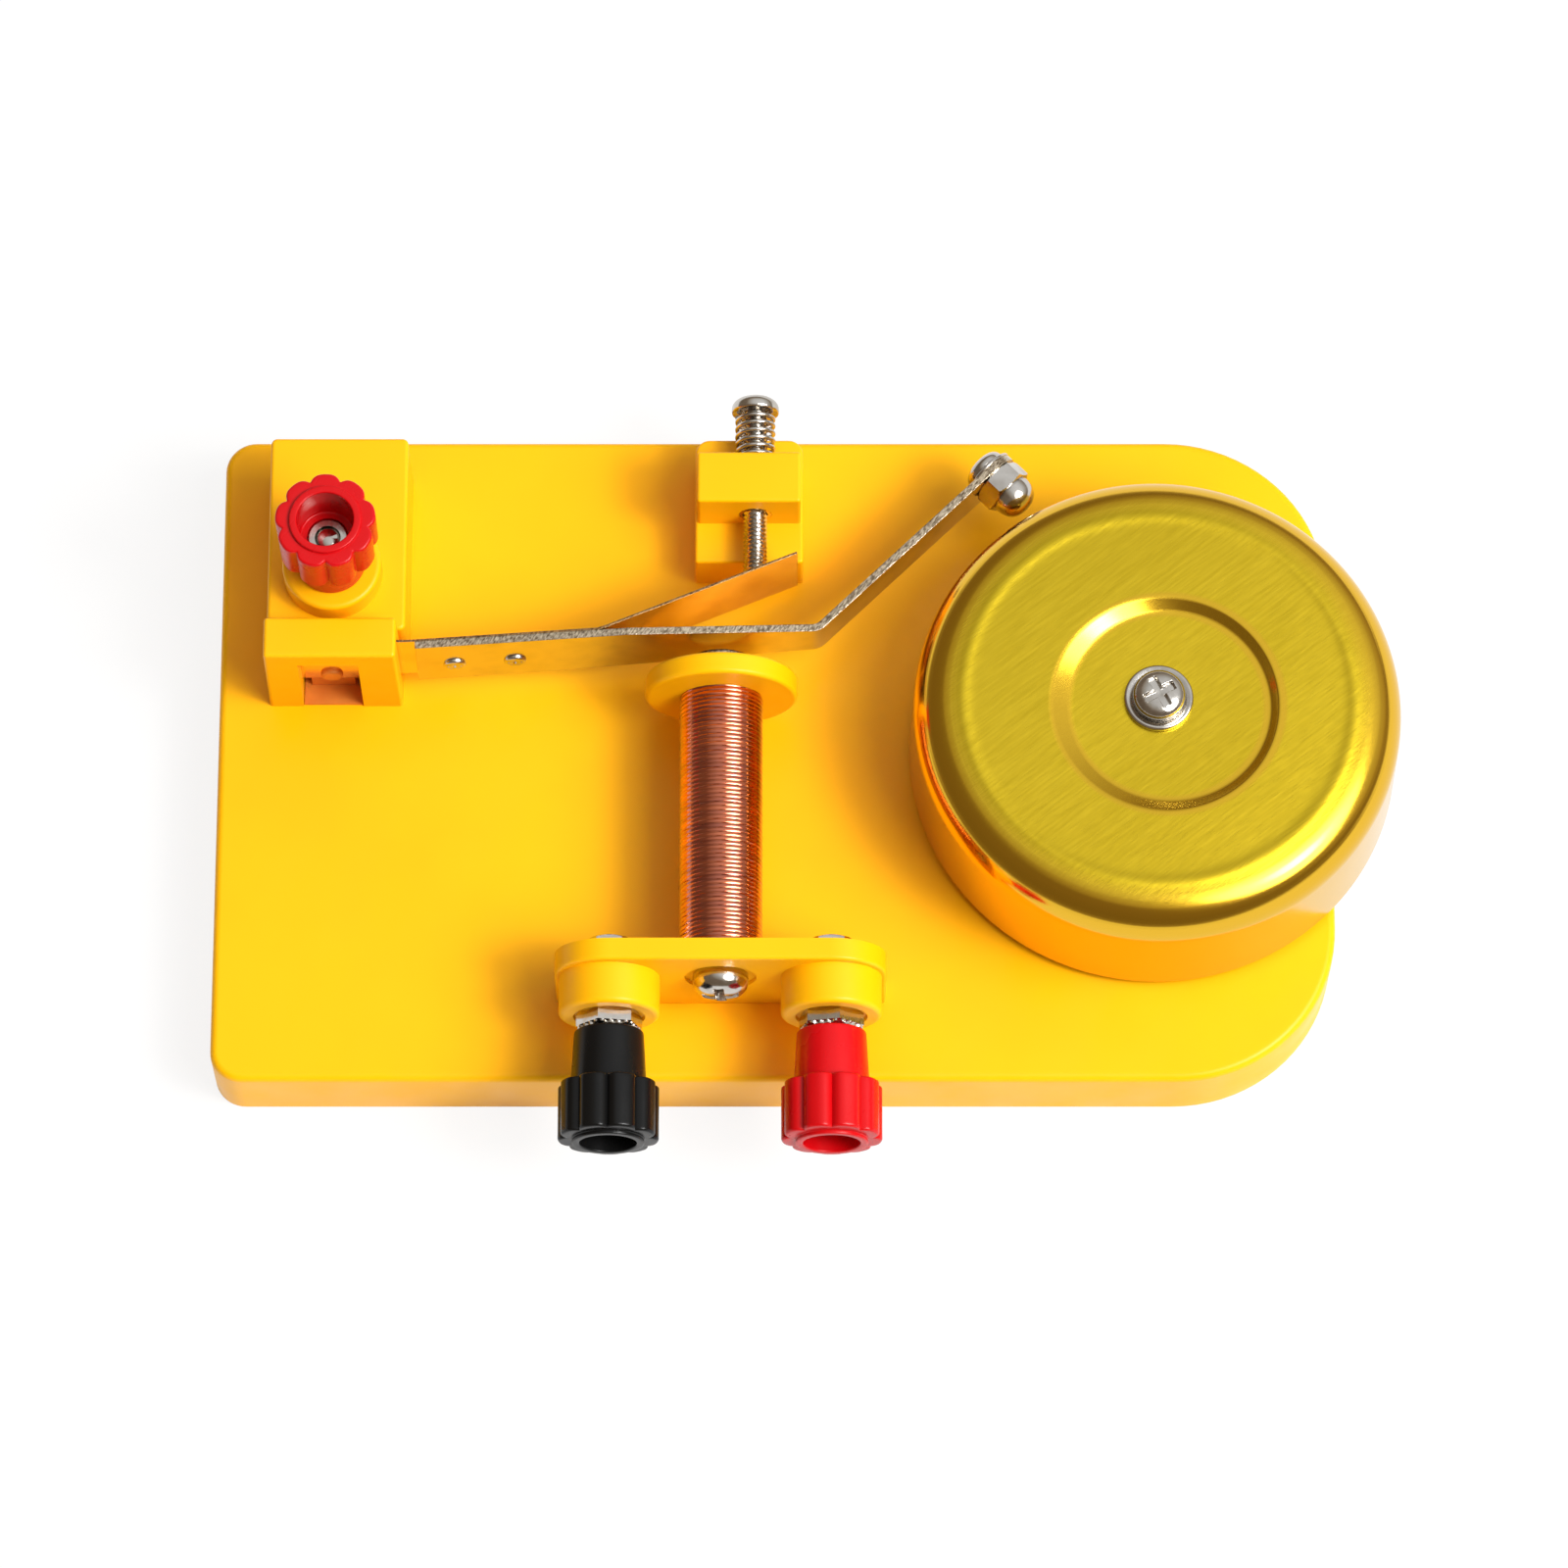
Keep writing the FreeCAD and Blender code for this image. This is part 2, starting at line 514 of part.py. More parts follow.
def cap(label, turned, x, y, z, rotation=Rotation()):
    # fluted plastic cap, foot at local z = 0, the first flute at the angle turned
    body = newBody(label, x, y, z, rotation)
    top = "cap_neck + cap_flute_length + cap_ring_height"
    neckBore, socket = "bush_diameter / 2 + slip_gap", "cap_socket / 2"
    ringOrPin(body, label + "Profile", [
        (neckBore, "0"), ("cap_foot_diameter / 2 - 0.4", "0"), ("cap_foot_diameter / 2", "0.4"),
        ("cap_neck_diameter / 2", "cap_neck"), ("cap_diameter / 2 - 0.3", "cap_neck"),
        ("cap_diameter / 2", "cap_neck + 0.3"),
        ("cap_diameter / 2", "cap_neck + cap_flute_length - 0.5"),
        ("cap_diameter / 2 - 0.5", "cap_neck + cap_flute_length"),
        ("cap_ring_diameter / 2", "cap_neck + cap_flute_length"),
        ("cap_ring_diameter / 2", f"{top} - 0.2"), ("cap_ring_diameter / 2 - 0.2", top),
        (socket, top), (socket, f"{top} - cap_socket_depth"), (neckBore, f"{top} - cap_socket_depth")])
    flute = newSketch(body, label + "Flute", "XY_Plane", "cap_neck + cap_flute_length + 1")
    circle(flute, f"flute_centre * cos({turned})", f"flute_centre * sin({turned})", "2 * flute_radius")
    cutter = pocket(body, flute, "cap_flute_length + 1")
    ring = body.newObject("PartDesign::PolarPattern", label + "Flutes")
    ring.Originals = [cutter]
    ring.Axis = (flute, ["N_Axis"])
    ring.Angle = 360
    ring.setExpression("Occurrences", bound("flute_count"))
    body.Tip = ring
    doc.recompute()
    return body


bossFace = "bracket_rear - bracket_thick - boss_length"
studTop = "cap_neck + cap_flute_length + cap_ring_height - cap_socket_depth - stud_end_gap"
frontSets, nutsFront, nutsRear, tags = [], [], [], []
backDrop = "boss_length + bracket_thick + tag_thick + lock_nut_thick + nut_overhang"
for side, sign in (("black", "-"), ("red", "+")):
    x = f"coil_x {sign} post_spread"
    frontSets.append(stud("front_stud_" + side, backDrop,
                          f"nut_thick - boss_recess + seat_gap + {studTop}", x, bossFace,
                          "axis_height", toFront))
    nutsFront.append(hexNut("front_nut_" + side, "nut_flats", "nut_thick",
                            "stud_diameter + 2 * slip_gap", x, f"{bossFace} + boss_recess",
                            "axis_height", toFront))
    nutsRear.append(hexNut("rear_nut_" + side, "lock_nut_flats", "lock_nut_thick",
                           "stud_diameter + 2 * slip_gap", x, "bracket_rear + tag_thick",
                           "axis_height", toRear))
    tag = newBody("tag_" + side, x, "bracket_rear + tag_thick", "axis_height")
    tagSketch = newSketch(tag, "TagRing" + side, "XZ_Plane")
    circle(tagSketch, "0", "0", "tag_diameter")
    pad(tag, tagSketch, "tag_thick")
    tail = newSketch(tag, "TagTail" + side, "XZ_Plane")
    box(tail, "-tag_width / 2", "tag_width / 2", "0.5", "tag_reach")
    pad(tag, tail, "tag_thick")
    tagHole = newSketch(tag, "TagHole" + side, "XZ_Plane", "tag_thick")
    circle(tagHole, "0", "0", "stud_diameter + 2 * slip_gap")
    pocket(tag, tagHole, "tag_thick + 1")
    tags.append(tag)
frontStuds = group("front_studs", frontSets)
frontNuts = group("front_nuts", nutsFront)
rearNuts = group("rear_nuts", nutsRear)
solderTags = group("solder_tags", tags)
capFoot = f"{bossFace} + boss_recess - nut_thick - seat_gap"
capBlack = cap("cap_black", "front_cap_turn", "coil_x - post_spread", capFoot, "axis_height", toFront)
capRed = cap("cap_red", "front_cap_turn", "coil_x + post_spread", capFoot, "axis_height", toFront)
bushBlack = bush("bush_black", "coil_x - post_spread", capFoot, "axis_height", toFront)
bushRed = bush("bush_red", "coil_x + post_spread", capFoot, "axis_height", toFront)
sideFace = "base_height + block_height + side_boss_height"
capSide = cap("cap_side", "side_cap_turn", "side_post_x", "side_post_y", f"{sideFace} + seat_gap")
bushSide = bush("bush_side", "side_post_x", "side_post_y", f"{sideFace} + seat_gap")
sideStud = stud("side_stud", f"{sideFace} - base_height + base_wall + lock_nut_thick + nut_overhang",
                f"seat_gap + {studTop}", "side_post_x", "side_post_y", sideFace)
sideNuts = group("side_nuts", [
    hexNut("strip_nut", "lock_nut_flats", "lock_nut_thick", "stud_diameter + 2 * slip_gap",
           "side_post_x", "side_post_y", "base_height + strip_thick"),
    hexNut("under_nut", "lock_nut_flats", "lock_nut_thick", "stud_diameter + 2 * slip_gap",
           "side_post_x", "side_post_y", "base_height - base_wall", Rotation(Vector(1, 0, 0), 180))])

# ---- coil bracket ----
bracket = newBody("coil_bracket", "coil_x", "bracket_rear", "base_height")
plate = newSketch(bracket, "PlateFace", "XZ_Plane")
box(plate, "-post_spread - bracket_end_radius", "post_spread + bracket_end_radius", "0",
    f"{axisRise} + bracket_over")
wall = pad(bracket, plate, "bracket_thick")
wall = roundEdges(bracket, wall, "PlateEnds", "bracket_end_radius",
                  lambda e: e.BoundBox.YLength > 1 and e.CenterOfMass.z > 1)
bosses = newSketch(bracket, "BracketBosses", "XZ_Plane", "bracket_thick / 2")
for sign in ("-", ""):
    circle(bosses, sign + "post_spread", axisRise, "boss_diameter_front")
lugs = pad(bracket, bosses, "boss_length + bracket_thick / 2")
lugs = roundEdges(bracket, lugs, "BossEdges", "boss_round",
                  isRing("boss_diameter_front / 2", "-boss_length - bracket_thick", "y"))
wall = roundEdges(bracket, lugs, "PlateEdges", "post_round",
                  lambda e: abs(e.CenterOfMass.y + value("bracket_thick")) < 0.01
                  and e.CenterOfMass.z > value(f"{axisRise} + 3")
                  and not (isinstance(e.Curve, Part.Circle)
                           and abs(e.Curve.Radius - value("boss_diameter_front / 2")) < 1e-3))
recesses = newSketch(bracket, "BossRecesses", "XZ_Plane", "bracket_thick + boss_length")
for sign in ("-", ""):
    circle(recesses, sign + "post_spread", axisRise, "recess_diameter")
pocket(bracket, recesses, "boss_recess")
studBores = newSketch(bracket, "StudBores", "XZ_Plane", "bracket_thick + boss_length")
for sign in ("-", ""):
    circle(studBores, sign + "post_spread", axisRise, "stud_diameter + 2 * hole_gap")
pocket(bracket, studBores, "bracket_thick + boss_length + 1")
dish = newSketch(bracket, "CoreDish", "XZ_Plane", "bracket_thick")
circle(dish, "0", axisRise, "recess_diameter")
pocket(bracket, dish, "boss_recess")
coreBore = newSketch(bracket, "CoreBore", "XZ_Plane", "bracket_thick")
circle(coreBore, "0", axisRise, "screw_diameter + 2 * hole_gap")
pocket(bracket, coreBore, "bracket_thick + 1")
feet = newSketch(bracket, "BracketTabs", "XY_Plane")
for x, y in bracketTabs:
    box(feet, f"{x} - coil_x - tab_length + hole_gap", f"{x} - coil_x + tab_length - hole_gap",
        f"{y} - bracket_rear - {tabHalf}", f"{y} - bracket_rear + {tabHalf}")
pad(bracket, feet, "base_wall", reverse=True)


# ---- coil: local z runs along the coil from the bracket towards the armature ----
def coilPiece(label, profile):
    body = newBody(label, "coil_x", "bracket_rear", "axis_height", toRear)
    return body, ringOrPin(body, label + "Profile", profile)


former, tube = coilPiece("coil_former", [
    ("core_diameter / 2 + slip_gap", "0"), ("tube_diameter / 2", "0"),
    ("tube_diameter / 2", "coil_length"), ("flange_diameter / 2", "coil_length"),
    ("flange_diameter / 2", "coil_length + flange_thick"),
    ("core_diameter / 2 + slip_gap", "coil_length + flange_thick")])
roundEdges(former, tube, "FlangeRound", "flange_round",
           lambda e: isinstance(e.Curve, Part.Circle) and e.Curve.Radius > value("flange_diameter / 2 - 0.1"))
winding, sleeve = coilPiece("coil_winding", [
    ("tube_diameter / 2 + slip_gap", "slip_gap"), ("winding_diameter / 2", "slip_gap"),
    ("winding_diameter / 2", "coil_length - slip_gap"),
    ("tube_diameter / 2 + slip_gap", "coil_length - slip_gap")])
poleTop = "coil_length + flange_thick + pole_length"
threadDepth = "core_screw_length - bracket_thick + boss_recess + 1"
core, rod = coilPiece("core", [
    ("screw_diameter / 2 + slip_gap", "0"), ("core_diameter / 2", "0"),
    ("core_diameter / 2", "coil_length + flange_thick"), ("pole_diameter / 2", "coil_length + flange_thick"),
    ("pole_diameter / 2", poleTop), ("0", poleTop), ("0", threadDepth),
    ("screw_diameter / 2 + slip_gap", threadDepth)])
roundEdges(core, rod, "PoleRound", "pole_round", isRing("pole_diameter / 2", poleTop))
coreScrew = panScrew("core_screw", "core_head", "core_head_height", "screw_diameter",
                     "core_screw_length", "coil_x", "bracket_rear - bracket_thick + boss_recess",
                     "axis_height", toFront)

# ---- contact post ----
post = newBody("contact_post", "column_x", "column_front", "base_height")
columnTop = f"({axisRise} + column_over)"
ledgeTop = f"({axisRise} - ledge_below)"
footPlan = newSketch(post, "PostFoot", "XY_Plane")
box(footPlan, "-ledge_width / 2", "ledge_width / 2", "-ledge_reach", "column_depth + ledge_rear")
trunk = pad(post, footPlan, ledgeTop)
trunk = roundEdges(post, trunk, "RearCorners", "column_corner",
                   lambda e: isUpright(e) and e.CenterOfMass.y > value("column_depth"))
trunk = roundEdges(post, trunk, "FootEdges", "post_round",
                   lambda e: abs(e.CenterOfMass.z - value(ledgeTop)) < 1e-3
                   or (isUpright(e) and e.CenterOfMass.y < 0))
columnPlan = newSketch(post, "ColumnPlan", "XY_Plane")
box(columnPlan, "-column_width / 2", "column_width / 2", "0", "column_depth")
trunk = pad(post, columnPlan, columnTop)
trunk = roundEdges(post, trunk, "PostEdges", "post_round",
                   lambda e: abs(e.CenterOfMass.z - value(columnTop)) < 1e-3
                   or (isUpright(e) and e.CenterOfMass.z > value(ledgeTop)))
screwOffset = "contact_x - column_x"
bushHole = newSketch(post, "BushHole", "XZ_Plane", "1")
circle(bushHole, screwOffset, axisRise, "contact_bush_diameter + 2 * slip_gap")
pocket(post, bushHole, "column_depth + 3")
postPilots = newSketch(post, "PostPilots", "XY_Plane")
for sign in ("-", ""):
    circle(postPilots, sign + "column_screw_spread", "column_screw_y - column_front",
           "tapping_diameter + 2 * slip_gap")
pocket(post, postPilots, "column_pilot_depth", reverse=True)

contactBush = newBody("contact_bush", "contact_x", "column_front", "axis_height", toRear)
ringOrPin(contactBush, "ContactBushProfile", [
    ("screw_diameter / 2 + 2 * slip_gap", "0"), ("contact_bush_diameter / 2", "0"),
    ("contact_bush_diameter / 2", "column_depth"),
    ("screw_diameter / 2 + 2 * slip_gap", "column_depth")])

seatY = "column_front + column_depth"
headSeat = f"{seatY} + spring_space"
slopeAngle = "(armature_tilt + leaf_angle)"
tipY = (f"hinge_y + leaf_split * sin(armature_tilt)"
        f" + (contact_x - hinge_x - leaf_split * cos(armature_tilt)) * tan{slopeAngle}"
        f" + leaf_thick / 2 / cos{slopeAngle} + contact_tip_radius * tan{slopeAngle} + contact_gap")
contactScrew = panScrew("contact_screw", "contact_head", "contact_head_height", "screw_diameter",
                        f"{headSeat} - ({tipY})", "contact_x", headSeat, "axis_height", toRear,
                        tip="contact_tip_radius")

spring = newBody("contact_spring", "contact_x", seatY, "axis_height", toRear)
wire = newSketch(spring, "SpringWire", "XZ_Plane")
circle(wire, "(spring_diameter - spring_wire) / 2", "spring_wire / 2 + seat_gap", "spring_wire")
coilUp = spring.newObject("PartDesign::AdditiveHelix", "SpringHelix")
coilUp.Profile = wire
coilUp.ReferenceAxis = (wire, ["V_Axis"])
coilUp.Mode = "pitch-height-angle"
coilUp.setExpression("Pitch", bound("spring_pitch"))
coilUp.setExpression("Height", bound("spring_space - spring_wire - 2 * seat_gap"))
doc.recompute()


# ---- armature and leaf: local origin on the bending line, x along the armature ----
tilt = Rotation(Vector(0, 0, 1), value("armature_tilt"))


def swingBody(label):
    return newBody(label, "hinge_x", "hinge_y", "axis_height", tilt)


ironY = "(iron_thick + leaf_thick) / 2"


def armPoint(along, left):
    # a point of the bent strip: distance along the arm from the bend, distance to its left
    return (f"bend_reach + ({along}) * cos(arm_angle) - ({left}) * sin(arm_angle)",
            f"-{ironY} + ({along}) * sin(arm_angle) + ({left}) * cos(arm_angle)")


armature = swingBody("armature")
mitre = "iron_thick / 2 * tan(arm_angle / 2)"
bentEnd = "2 * bend_radius + mitre_reach"
ironPlan = newSketch(armature, "IronPlan", "XY_Plane", "strip_lift")
polygon(ironPlan, [
    ("armature_start", f"-{ironY} - iron_thick / 2"),
    (f"bend_reach + {mitre}", f"-{ironY} - iron_thick / 2"),
    armPoint(bentEnd, "-iron_thick / 2"), armPoint(bentEnd, "iron_thick / 2"),
    (f"bend_reach - {mitre}", f"-{ironY} + iron_thick / 2"),
    ("armature_start", f"-{ironY} + iron_thick / 2")])
pad(armature, ironPlan, "armature_height", midplane=True)
for name, start, sign in (("TaperTop", "top_taper_start", "+"), ("TaperFoot", "foot_taper_start", "-")):
    taper = newSketch(armature, name, "XZ_Plane")
    edge = f"strip_lift {sign} armature_height / 2"
    polygon(taper, [(start, edge), ("bend_reach - 1", f"0 {sign} arm_height / 2"),
                    (f"bend_reach + 2 * ({bentEnd})", f"0 {sign} arm_height / 2"),
                    (f"bend_reach + 2 * ({bentEnd})", f"{edge} {sign} 1"), (start, f"{edge} {sign} 1")])
    pocket(armature, taper, f"4 * ({bentEnd})", midplane=True)
toArm = Placement(Vector(value("bend_reach"), 0, value(ironY)), Rotation(Vector(0, 1, 0), value("arm_angle")))
arm = newSketch(armature, "ArmFace", "XZ_Plane", ironY, toArm)
arm.setExpression("AttachmentOffset.Base.x", bound("bend_reach"))
box(arm, "bend_radius + mitre_reach / 2", "hammer_reach", "-arm_height / 2", "arm_height / 2")
pad(armature, arm, "iron_thick", midplane=True)
eye = newSketch(armature, "ArmEye", "XZ_Plane", ironY, toArm)
eye.setExpression("AttachmentOffset.Base.x", bound("bend_reach"))
circle(eye, "hammer_reach", "0", "2 * eye_radius")
armTip = pad(armature, eye, "iron_thick", midplane=True)


def nearBend(edge, left):
    x, y = armPoint("0", left)
    middle = edge.CenterOfMass
    return isUpright(edge) and abs(middle.x - value("bend_reach")) < 1.5 and \
        (middle.y > -value(ironY)) == (left == "1")


armTip = roundEdges(armature, armTip, "BendInside", "bend_radius", lambda e: nearBend(e, "1"))
armTip = roundEdges(armature, armTip, "BendOutside", "bend_radius + iron_thick",
                    lambda e: nearBend(e, "-1"))
hole = newSketch(armature, "HammerHole", "XZ_Plane", ironY, toArm)
hole.setExpression("AttachmentOffset.Base.x", bound("bend_reach"))
circle(hole, "hammer_reach", "0", "hammer_hole")
pocket(armature, hole, "2 * iron_thick", midplane=True)
rivetBores(armature, ["rivet_near", "rivet_far"], "0", ironY)

leaf = swingBody("contact_leaf")
leafPlan = newSketch(leaf, "LeafPlan", "XY_Plane", "strip_lift")
bend = "leaf_thick / 2 * tan(leaf_angle / 2)"
endX = "leaf_split + leaf_branch * cos(leaf_angle)"
endY = "leaf_branch * sin(leaf_angle)"
polygon(leafPlan, [
    ("hinge_gap / 2", "-leaf_thick / 2"), (f"leaf_split + {bend}", "-leaf_thick / 2"),
    (f"{endX} + leaf_thick / 2 * sin(leaf_angle)", f"{endY} - leaf_thick / 2 * cos(leaf_angle)"),
    (f"{endX} - leaf_thick / 2 * sin(leaf_angle)", f"{endY} + leaf_thick / 2 * cos(leaf_angle)"),
    (f"leaf_split - {bend}", "leaf_thick / 2"), ("hinge_gap / 2", "leaf_thick / 2")])
pad(leaf, leafPlan, "armature_height", midplane=True)
rivetBores(leaf, ["rivet_near", "rivet_far"], "0")

rivets = group("armature_rivets", [
    rivet(f"armature_rivet_{name}", "iron_thick + leaf_thick",
          f"hinge_x + {x} * cos(armature_tilt) + iron_thick / 2 * sin(armature_tilt)",
          f"hinge_y + {x} * sin(armature_tilt) - iron_thick / 2 * cos(armature_tilt)",
          "axis_height", tilt.multiply(toFront))
    for name, x in (("near", "rivet_near"), ("far", "rivet_far"))])

# ---- hammer: local z points at the gong, origin on the arm's centre plane ----
toGong = Rotation(Vector(0, 0, 1), value("armature_tilt + arm_angle")).multiply(toFront)
hammerX = (f"hinge_x + bend_reach * cos(armature_tilt) + {ironY} * sin(armature_tilt)"
           f" + hammer_reach * cos(armature_tilt + arm_angle)")
hammerY = (f"hinge_y + bend_reach * sin(armature_tilt) - {ironY} * cos(armature_tilt)"
           f" + hammer_reach * sin(armature_tilt + arm_angle)")


def alongHammer(distance):
    return (f"{hammerX} + ({distance}) * sin(armature_tilt + arm_angle)",
            f"{hammerY} - ({distance}) * cos(armature_tilt + arm_angle)", "axis_height")


washer = newBody("hammer_washer", *alongHammer("-iron_thick / 2 - washer_thick"), toGong)
ringOrPin(washer, "HammerWasherProfile", [
    ("hammer_screw_diameter / 2 + slip_gap", "0"), ("hammer_washer / 2", "0"),
    ("hammer_washer / 2", "washer_thick"), ("hammer_screw_diameter / 2 + slip_gap", "washer_thick")])
hammerScrew = panScrew("hammer_screw", "hammer_head", "hammer_head_height", "hammer_screw_diameter",
                       "washer_thick + iron_thick + cap_nut_hex + 0.4",
                       *alongHammer("-iron_thick / 2 - washer_thick"),
                       toGong.multiply(Rotation(Vector(1, 0, 0), 180)))
hammerNut = newBody("hammer_nut", *alongHammer("iron_thick / 2"), toGong)
hexFoot = newSketch(hammerNut, "NutHex", "XY_Plane")
hexagon(hexFoot, "cap_nut_flats")
pad(hammerNut, hexFoot, "cap_nut_hex")
nutEdge = newSketch(hammerNut, "NutChamfer", "XZ_Plane")
reach = "(cap_nut_flats / 2 / cos(30) + 0.3)"
polygon(nutEdge, [("cap_nut_flats / 2", "cap_nut_hex"),
                  (reach, f"cap_nut_hex - ({reach} - cap_nut_flats / 2) * tan(30)"),
                  (reach, "cap_nut_hex")])
turnProfile(hammerNut, nutEdge, cut=True)
dome = newSketch(hammerNut, "NutDome", "XY_Plane", "cap_nut_hex / 2")
circle(dome, "0", "0", "dome_diameter")
ball = pad(hammerNut, dome, "cap_nut_length - cap_nut_hex / 2")
roundEdges(hammerNut, ball, "DomeRound", "dome_diameter / 2 - dome_flat",
           isRing("dome_diameter / 2", "cap_nut_length"))
nutBore = newSketch(hammerNut, "NutBore", "XY_Plane")
circle(nutBore, "0", "0", "hammer_screw_diameter + 2 * slip_gap")
pocket(hammerNut, nutBore, "cap_nut_hex + 0.8", reverse=True)

# ---- gong ----
gong = newBody("gong", "gong_x")
bell = newSketch(gong, "GongProfile", "XZ_Plane")
crownRadius = "gong_radius - gong_taper"
polygon(bell, [("0", "gong_rim"), ("gong_radius", "gong_rim"), (crownRadius, "gong_top"),
               ("recess_outer", "gong_top"), ("recess_inner", "gong_top - recess_drop"),
               ("0", "gong_top - recess_drop")])
dish = turnProfile(gong, bell)
dish = roundEdges(gong, dish, "Shoulder", "gong_shoulder", isRing(crownRadius, "gong_top"))
dish = roundEdges(gong, dish, "RecessLip", "recess_lip", isRing("recess_outer", "gong_top"))
dish = roundEdges(gong, dish, "RecessFoot", "recess_foot",
                  isRing("recess_inner", "gong_top - recess_drop"))
low = value("gong_rim")
hollow(gong, dish, "GongSheet", "gong_sheet", isFloor)
centreHole = newSketch(gong, "GongHole", "XY_Plane", "gong_top")
circle(centreHole, "0", "0", "gong_hole")
pocket(gong, centreHole, "recess_drop + 2 * gong_sheet")

pillarTop = "gong_top - recess_drop - gong_sheet"
pillar = newBody("gong_pillar", "gong_x", "0", "base_height")
stem = newSketch(pillar, "PillarProfile", "XZ_Plane")
polygon(stem, [("0", "0"), ("pillar_foot / 2", "0"), ("pillar_foot / 2", "pillar_foot_height"),
               ("pillar_diameter / 2", "pillar_foot_height + pillar_slope"),
               ("pillar_diameter / 2", f"{pillarTop} - base_height"), ("0", f"{pillarTop} - base_height")])
turnProfile(pillar, stem)
stemPilot = newSketch(pillar, "PillarPilot", "XY_Plane")
circle(stemPilot, "0", "0", "tapping_diameter + 2 * slip_gap")
pocket(pillar, stemPilot, "pillar_pilot_depth", reverse=True)
stemBore = newSketch(pillar, "PillarBore", "XY_Plane", f"{pillarTop} - base_height")
circle(stemBore, "0", "0", "screw_diameter + 2 * slip_gap")
pocket(pillar, stemBore, "gong_screw_length")
gongFace = "gong_top - recess_drop"
gongWasher = newBody("gong_washer", "gong_x", "0", gongFace)
ringOrPin(gongWasher, "GongWasherProfile", [
    ("screw_diameter / 2 + slip_gap", "0"), ("gong_washer / 2", "0"),
    ("gong_washer / 2", "gong_washer_thick"), ("screw_diameter / 2 + slip_gap", "gong_washer_thick")])
gongScrew = panScrew("gong_screw", "gong_head", "gong_head_height", "screw_diameter",
                     "gong_screw_length", "gong_x", "0", f"{gongFace} + gong_washer_thick")

# ---- self-tapping screws under the base ----
flip = Rotation(Vector(1, 0, 0), 180)
tapping = [panScrew(f"base_screw_{i}", "tapping_head", "tapping_head_height", "tapping_diameter",
                    "tapping_length", x, y, "base_height - base_wall - pad_drop", flip)
           for i, (x, y) in enumerate(tappingPlaces, 1)]
baseScrews = group("base_screws", tapping)

pieces = [base, bridge, block, strip, root, leafRivet, sideStud, sideNuts, capSide, bushSide,
          bracket, former, winding, core, coreScrew, frontStuds, frontNuts, rearNuts, solderTags,
          capBlack, capRed, bushBlack, bushRed, post, contactBush, contactScrew, spring,
          armature, leaf, rivets, washer, hammerScrew, hammerNut,
          gong, pillar, gongWasher, gongScrew, baseScrews]

doc.recompute()
faults = [item.Label for item in doc.Objects if {"Invalid", "Error"} & set(item.State)]
faults += [piece.Label for piece in pieces if piece.Shape.isNull() or not piece.Shape.isValid()]
if faults:
    raise RuntimeError("faulty: " + ", ".join(faults))
os.makedirs("parts", exist_ok=True)
for piece in pieces:
    piece.Shape.exportStep(f"parts/{piece.Label}.step")
    print(f"{piece.Label:18s} {len(piece.Shape.Solids)} {piece.Shape.Volume:10.1f}")
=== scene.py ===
import bpy
import json
import math
import numpy as np
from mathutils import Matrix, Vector


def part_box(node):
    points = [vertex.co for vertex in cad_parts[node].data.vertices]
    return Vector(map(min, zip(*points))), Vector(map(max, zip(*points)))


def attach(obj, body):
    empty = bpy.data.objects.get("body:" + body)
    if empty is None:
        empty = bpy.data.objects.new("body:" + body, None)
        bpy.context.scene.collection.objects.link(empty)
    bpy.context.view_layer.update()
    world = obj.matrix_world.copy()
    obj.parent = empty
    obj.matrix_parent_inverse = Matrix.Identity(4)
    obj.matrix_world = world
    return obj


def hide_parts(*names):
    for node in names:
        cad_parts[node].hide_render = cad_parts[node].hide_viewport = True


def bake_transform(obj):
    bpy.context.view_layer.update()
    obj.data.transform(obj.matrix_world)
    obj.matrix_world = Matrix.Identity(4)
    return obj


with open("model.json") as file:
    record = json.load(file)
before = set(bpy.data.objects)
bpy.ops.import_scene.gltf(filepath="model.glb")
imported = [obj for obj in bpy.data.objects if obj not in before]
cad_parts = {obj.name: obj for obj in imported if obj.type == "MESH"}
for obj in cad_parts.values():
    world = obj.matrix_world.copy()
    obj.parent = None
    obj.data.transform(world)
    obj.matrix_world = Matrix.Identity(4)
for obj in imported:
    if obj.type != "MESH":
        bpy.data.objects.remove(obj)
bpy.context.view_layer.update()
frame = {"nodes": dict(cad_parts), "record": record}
nodes = frame["nodes"]
scene = bpy.context.scene
millimetre = 0.001
fullTurn = 2 * np.pi
print("frame loaded:", len(nodes), "nodes")


def colour(red, green, blue):
    # display values 0 to 255 turned into the linear values that shaders take
    part = np.array([red, green, blue], float) / 255
    linear = np.where(part <= 0.04045, part / 12.92, ((part + 0.055) / 1.055) ** 2.4)
    return (*linear.tolist(), 1.0)


def nodeBox(name):
    low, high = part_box(name)
    return np.array(low) / millimetre, np.array(high) / millimetre


# camera
view = {"elevation": 70, "target": (1.55, -4.83, 14), "distance": 1187, "lens": 168.75, "sensor": 36,
        "nearest": 0.05, "farthest": 90}
raised = math.radians(view["elevation"])
target = Vector(view["target"]) * millimetre
away = Vector((0, -math.cos(raised), math.sin(raised)))
cameraData = bpy.data.cameras.new("bellCamera")
cameraData.lens, cameraData.sensor_width = view["lens"], view["sensor"]
cameraData.clip_start, cameraData.clip_end = view["nearest"], view["farthest"]
camera = bpy.data.objects.new("bellCamera", cameraData)
camera.location = target + away * view["distance"] * millimetre
camera.rotation_euler = away.to_track_quat("Z", "Y").to_euler()
scene.collection.objects.link(camera)
scene.camera = camera

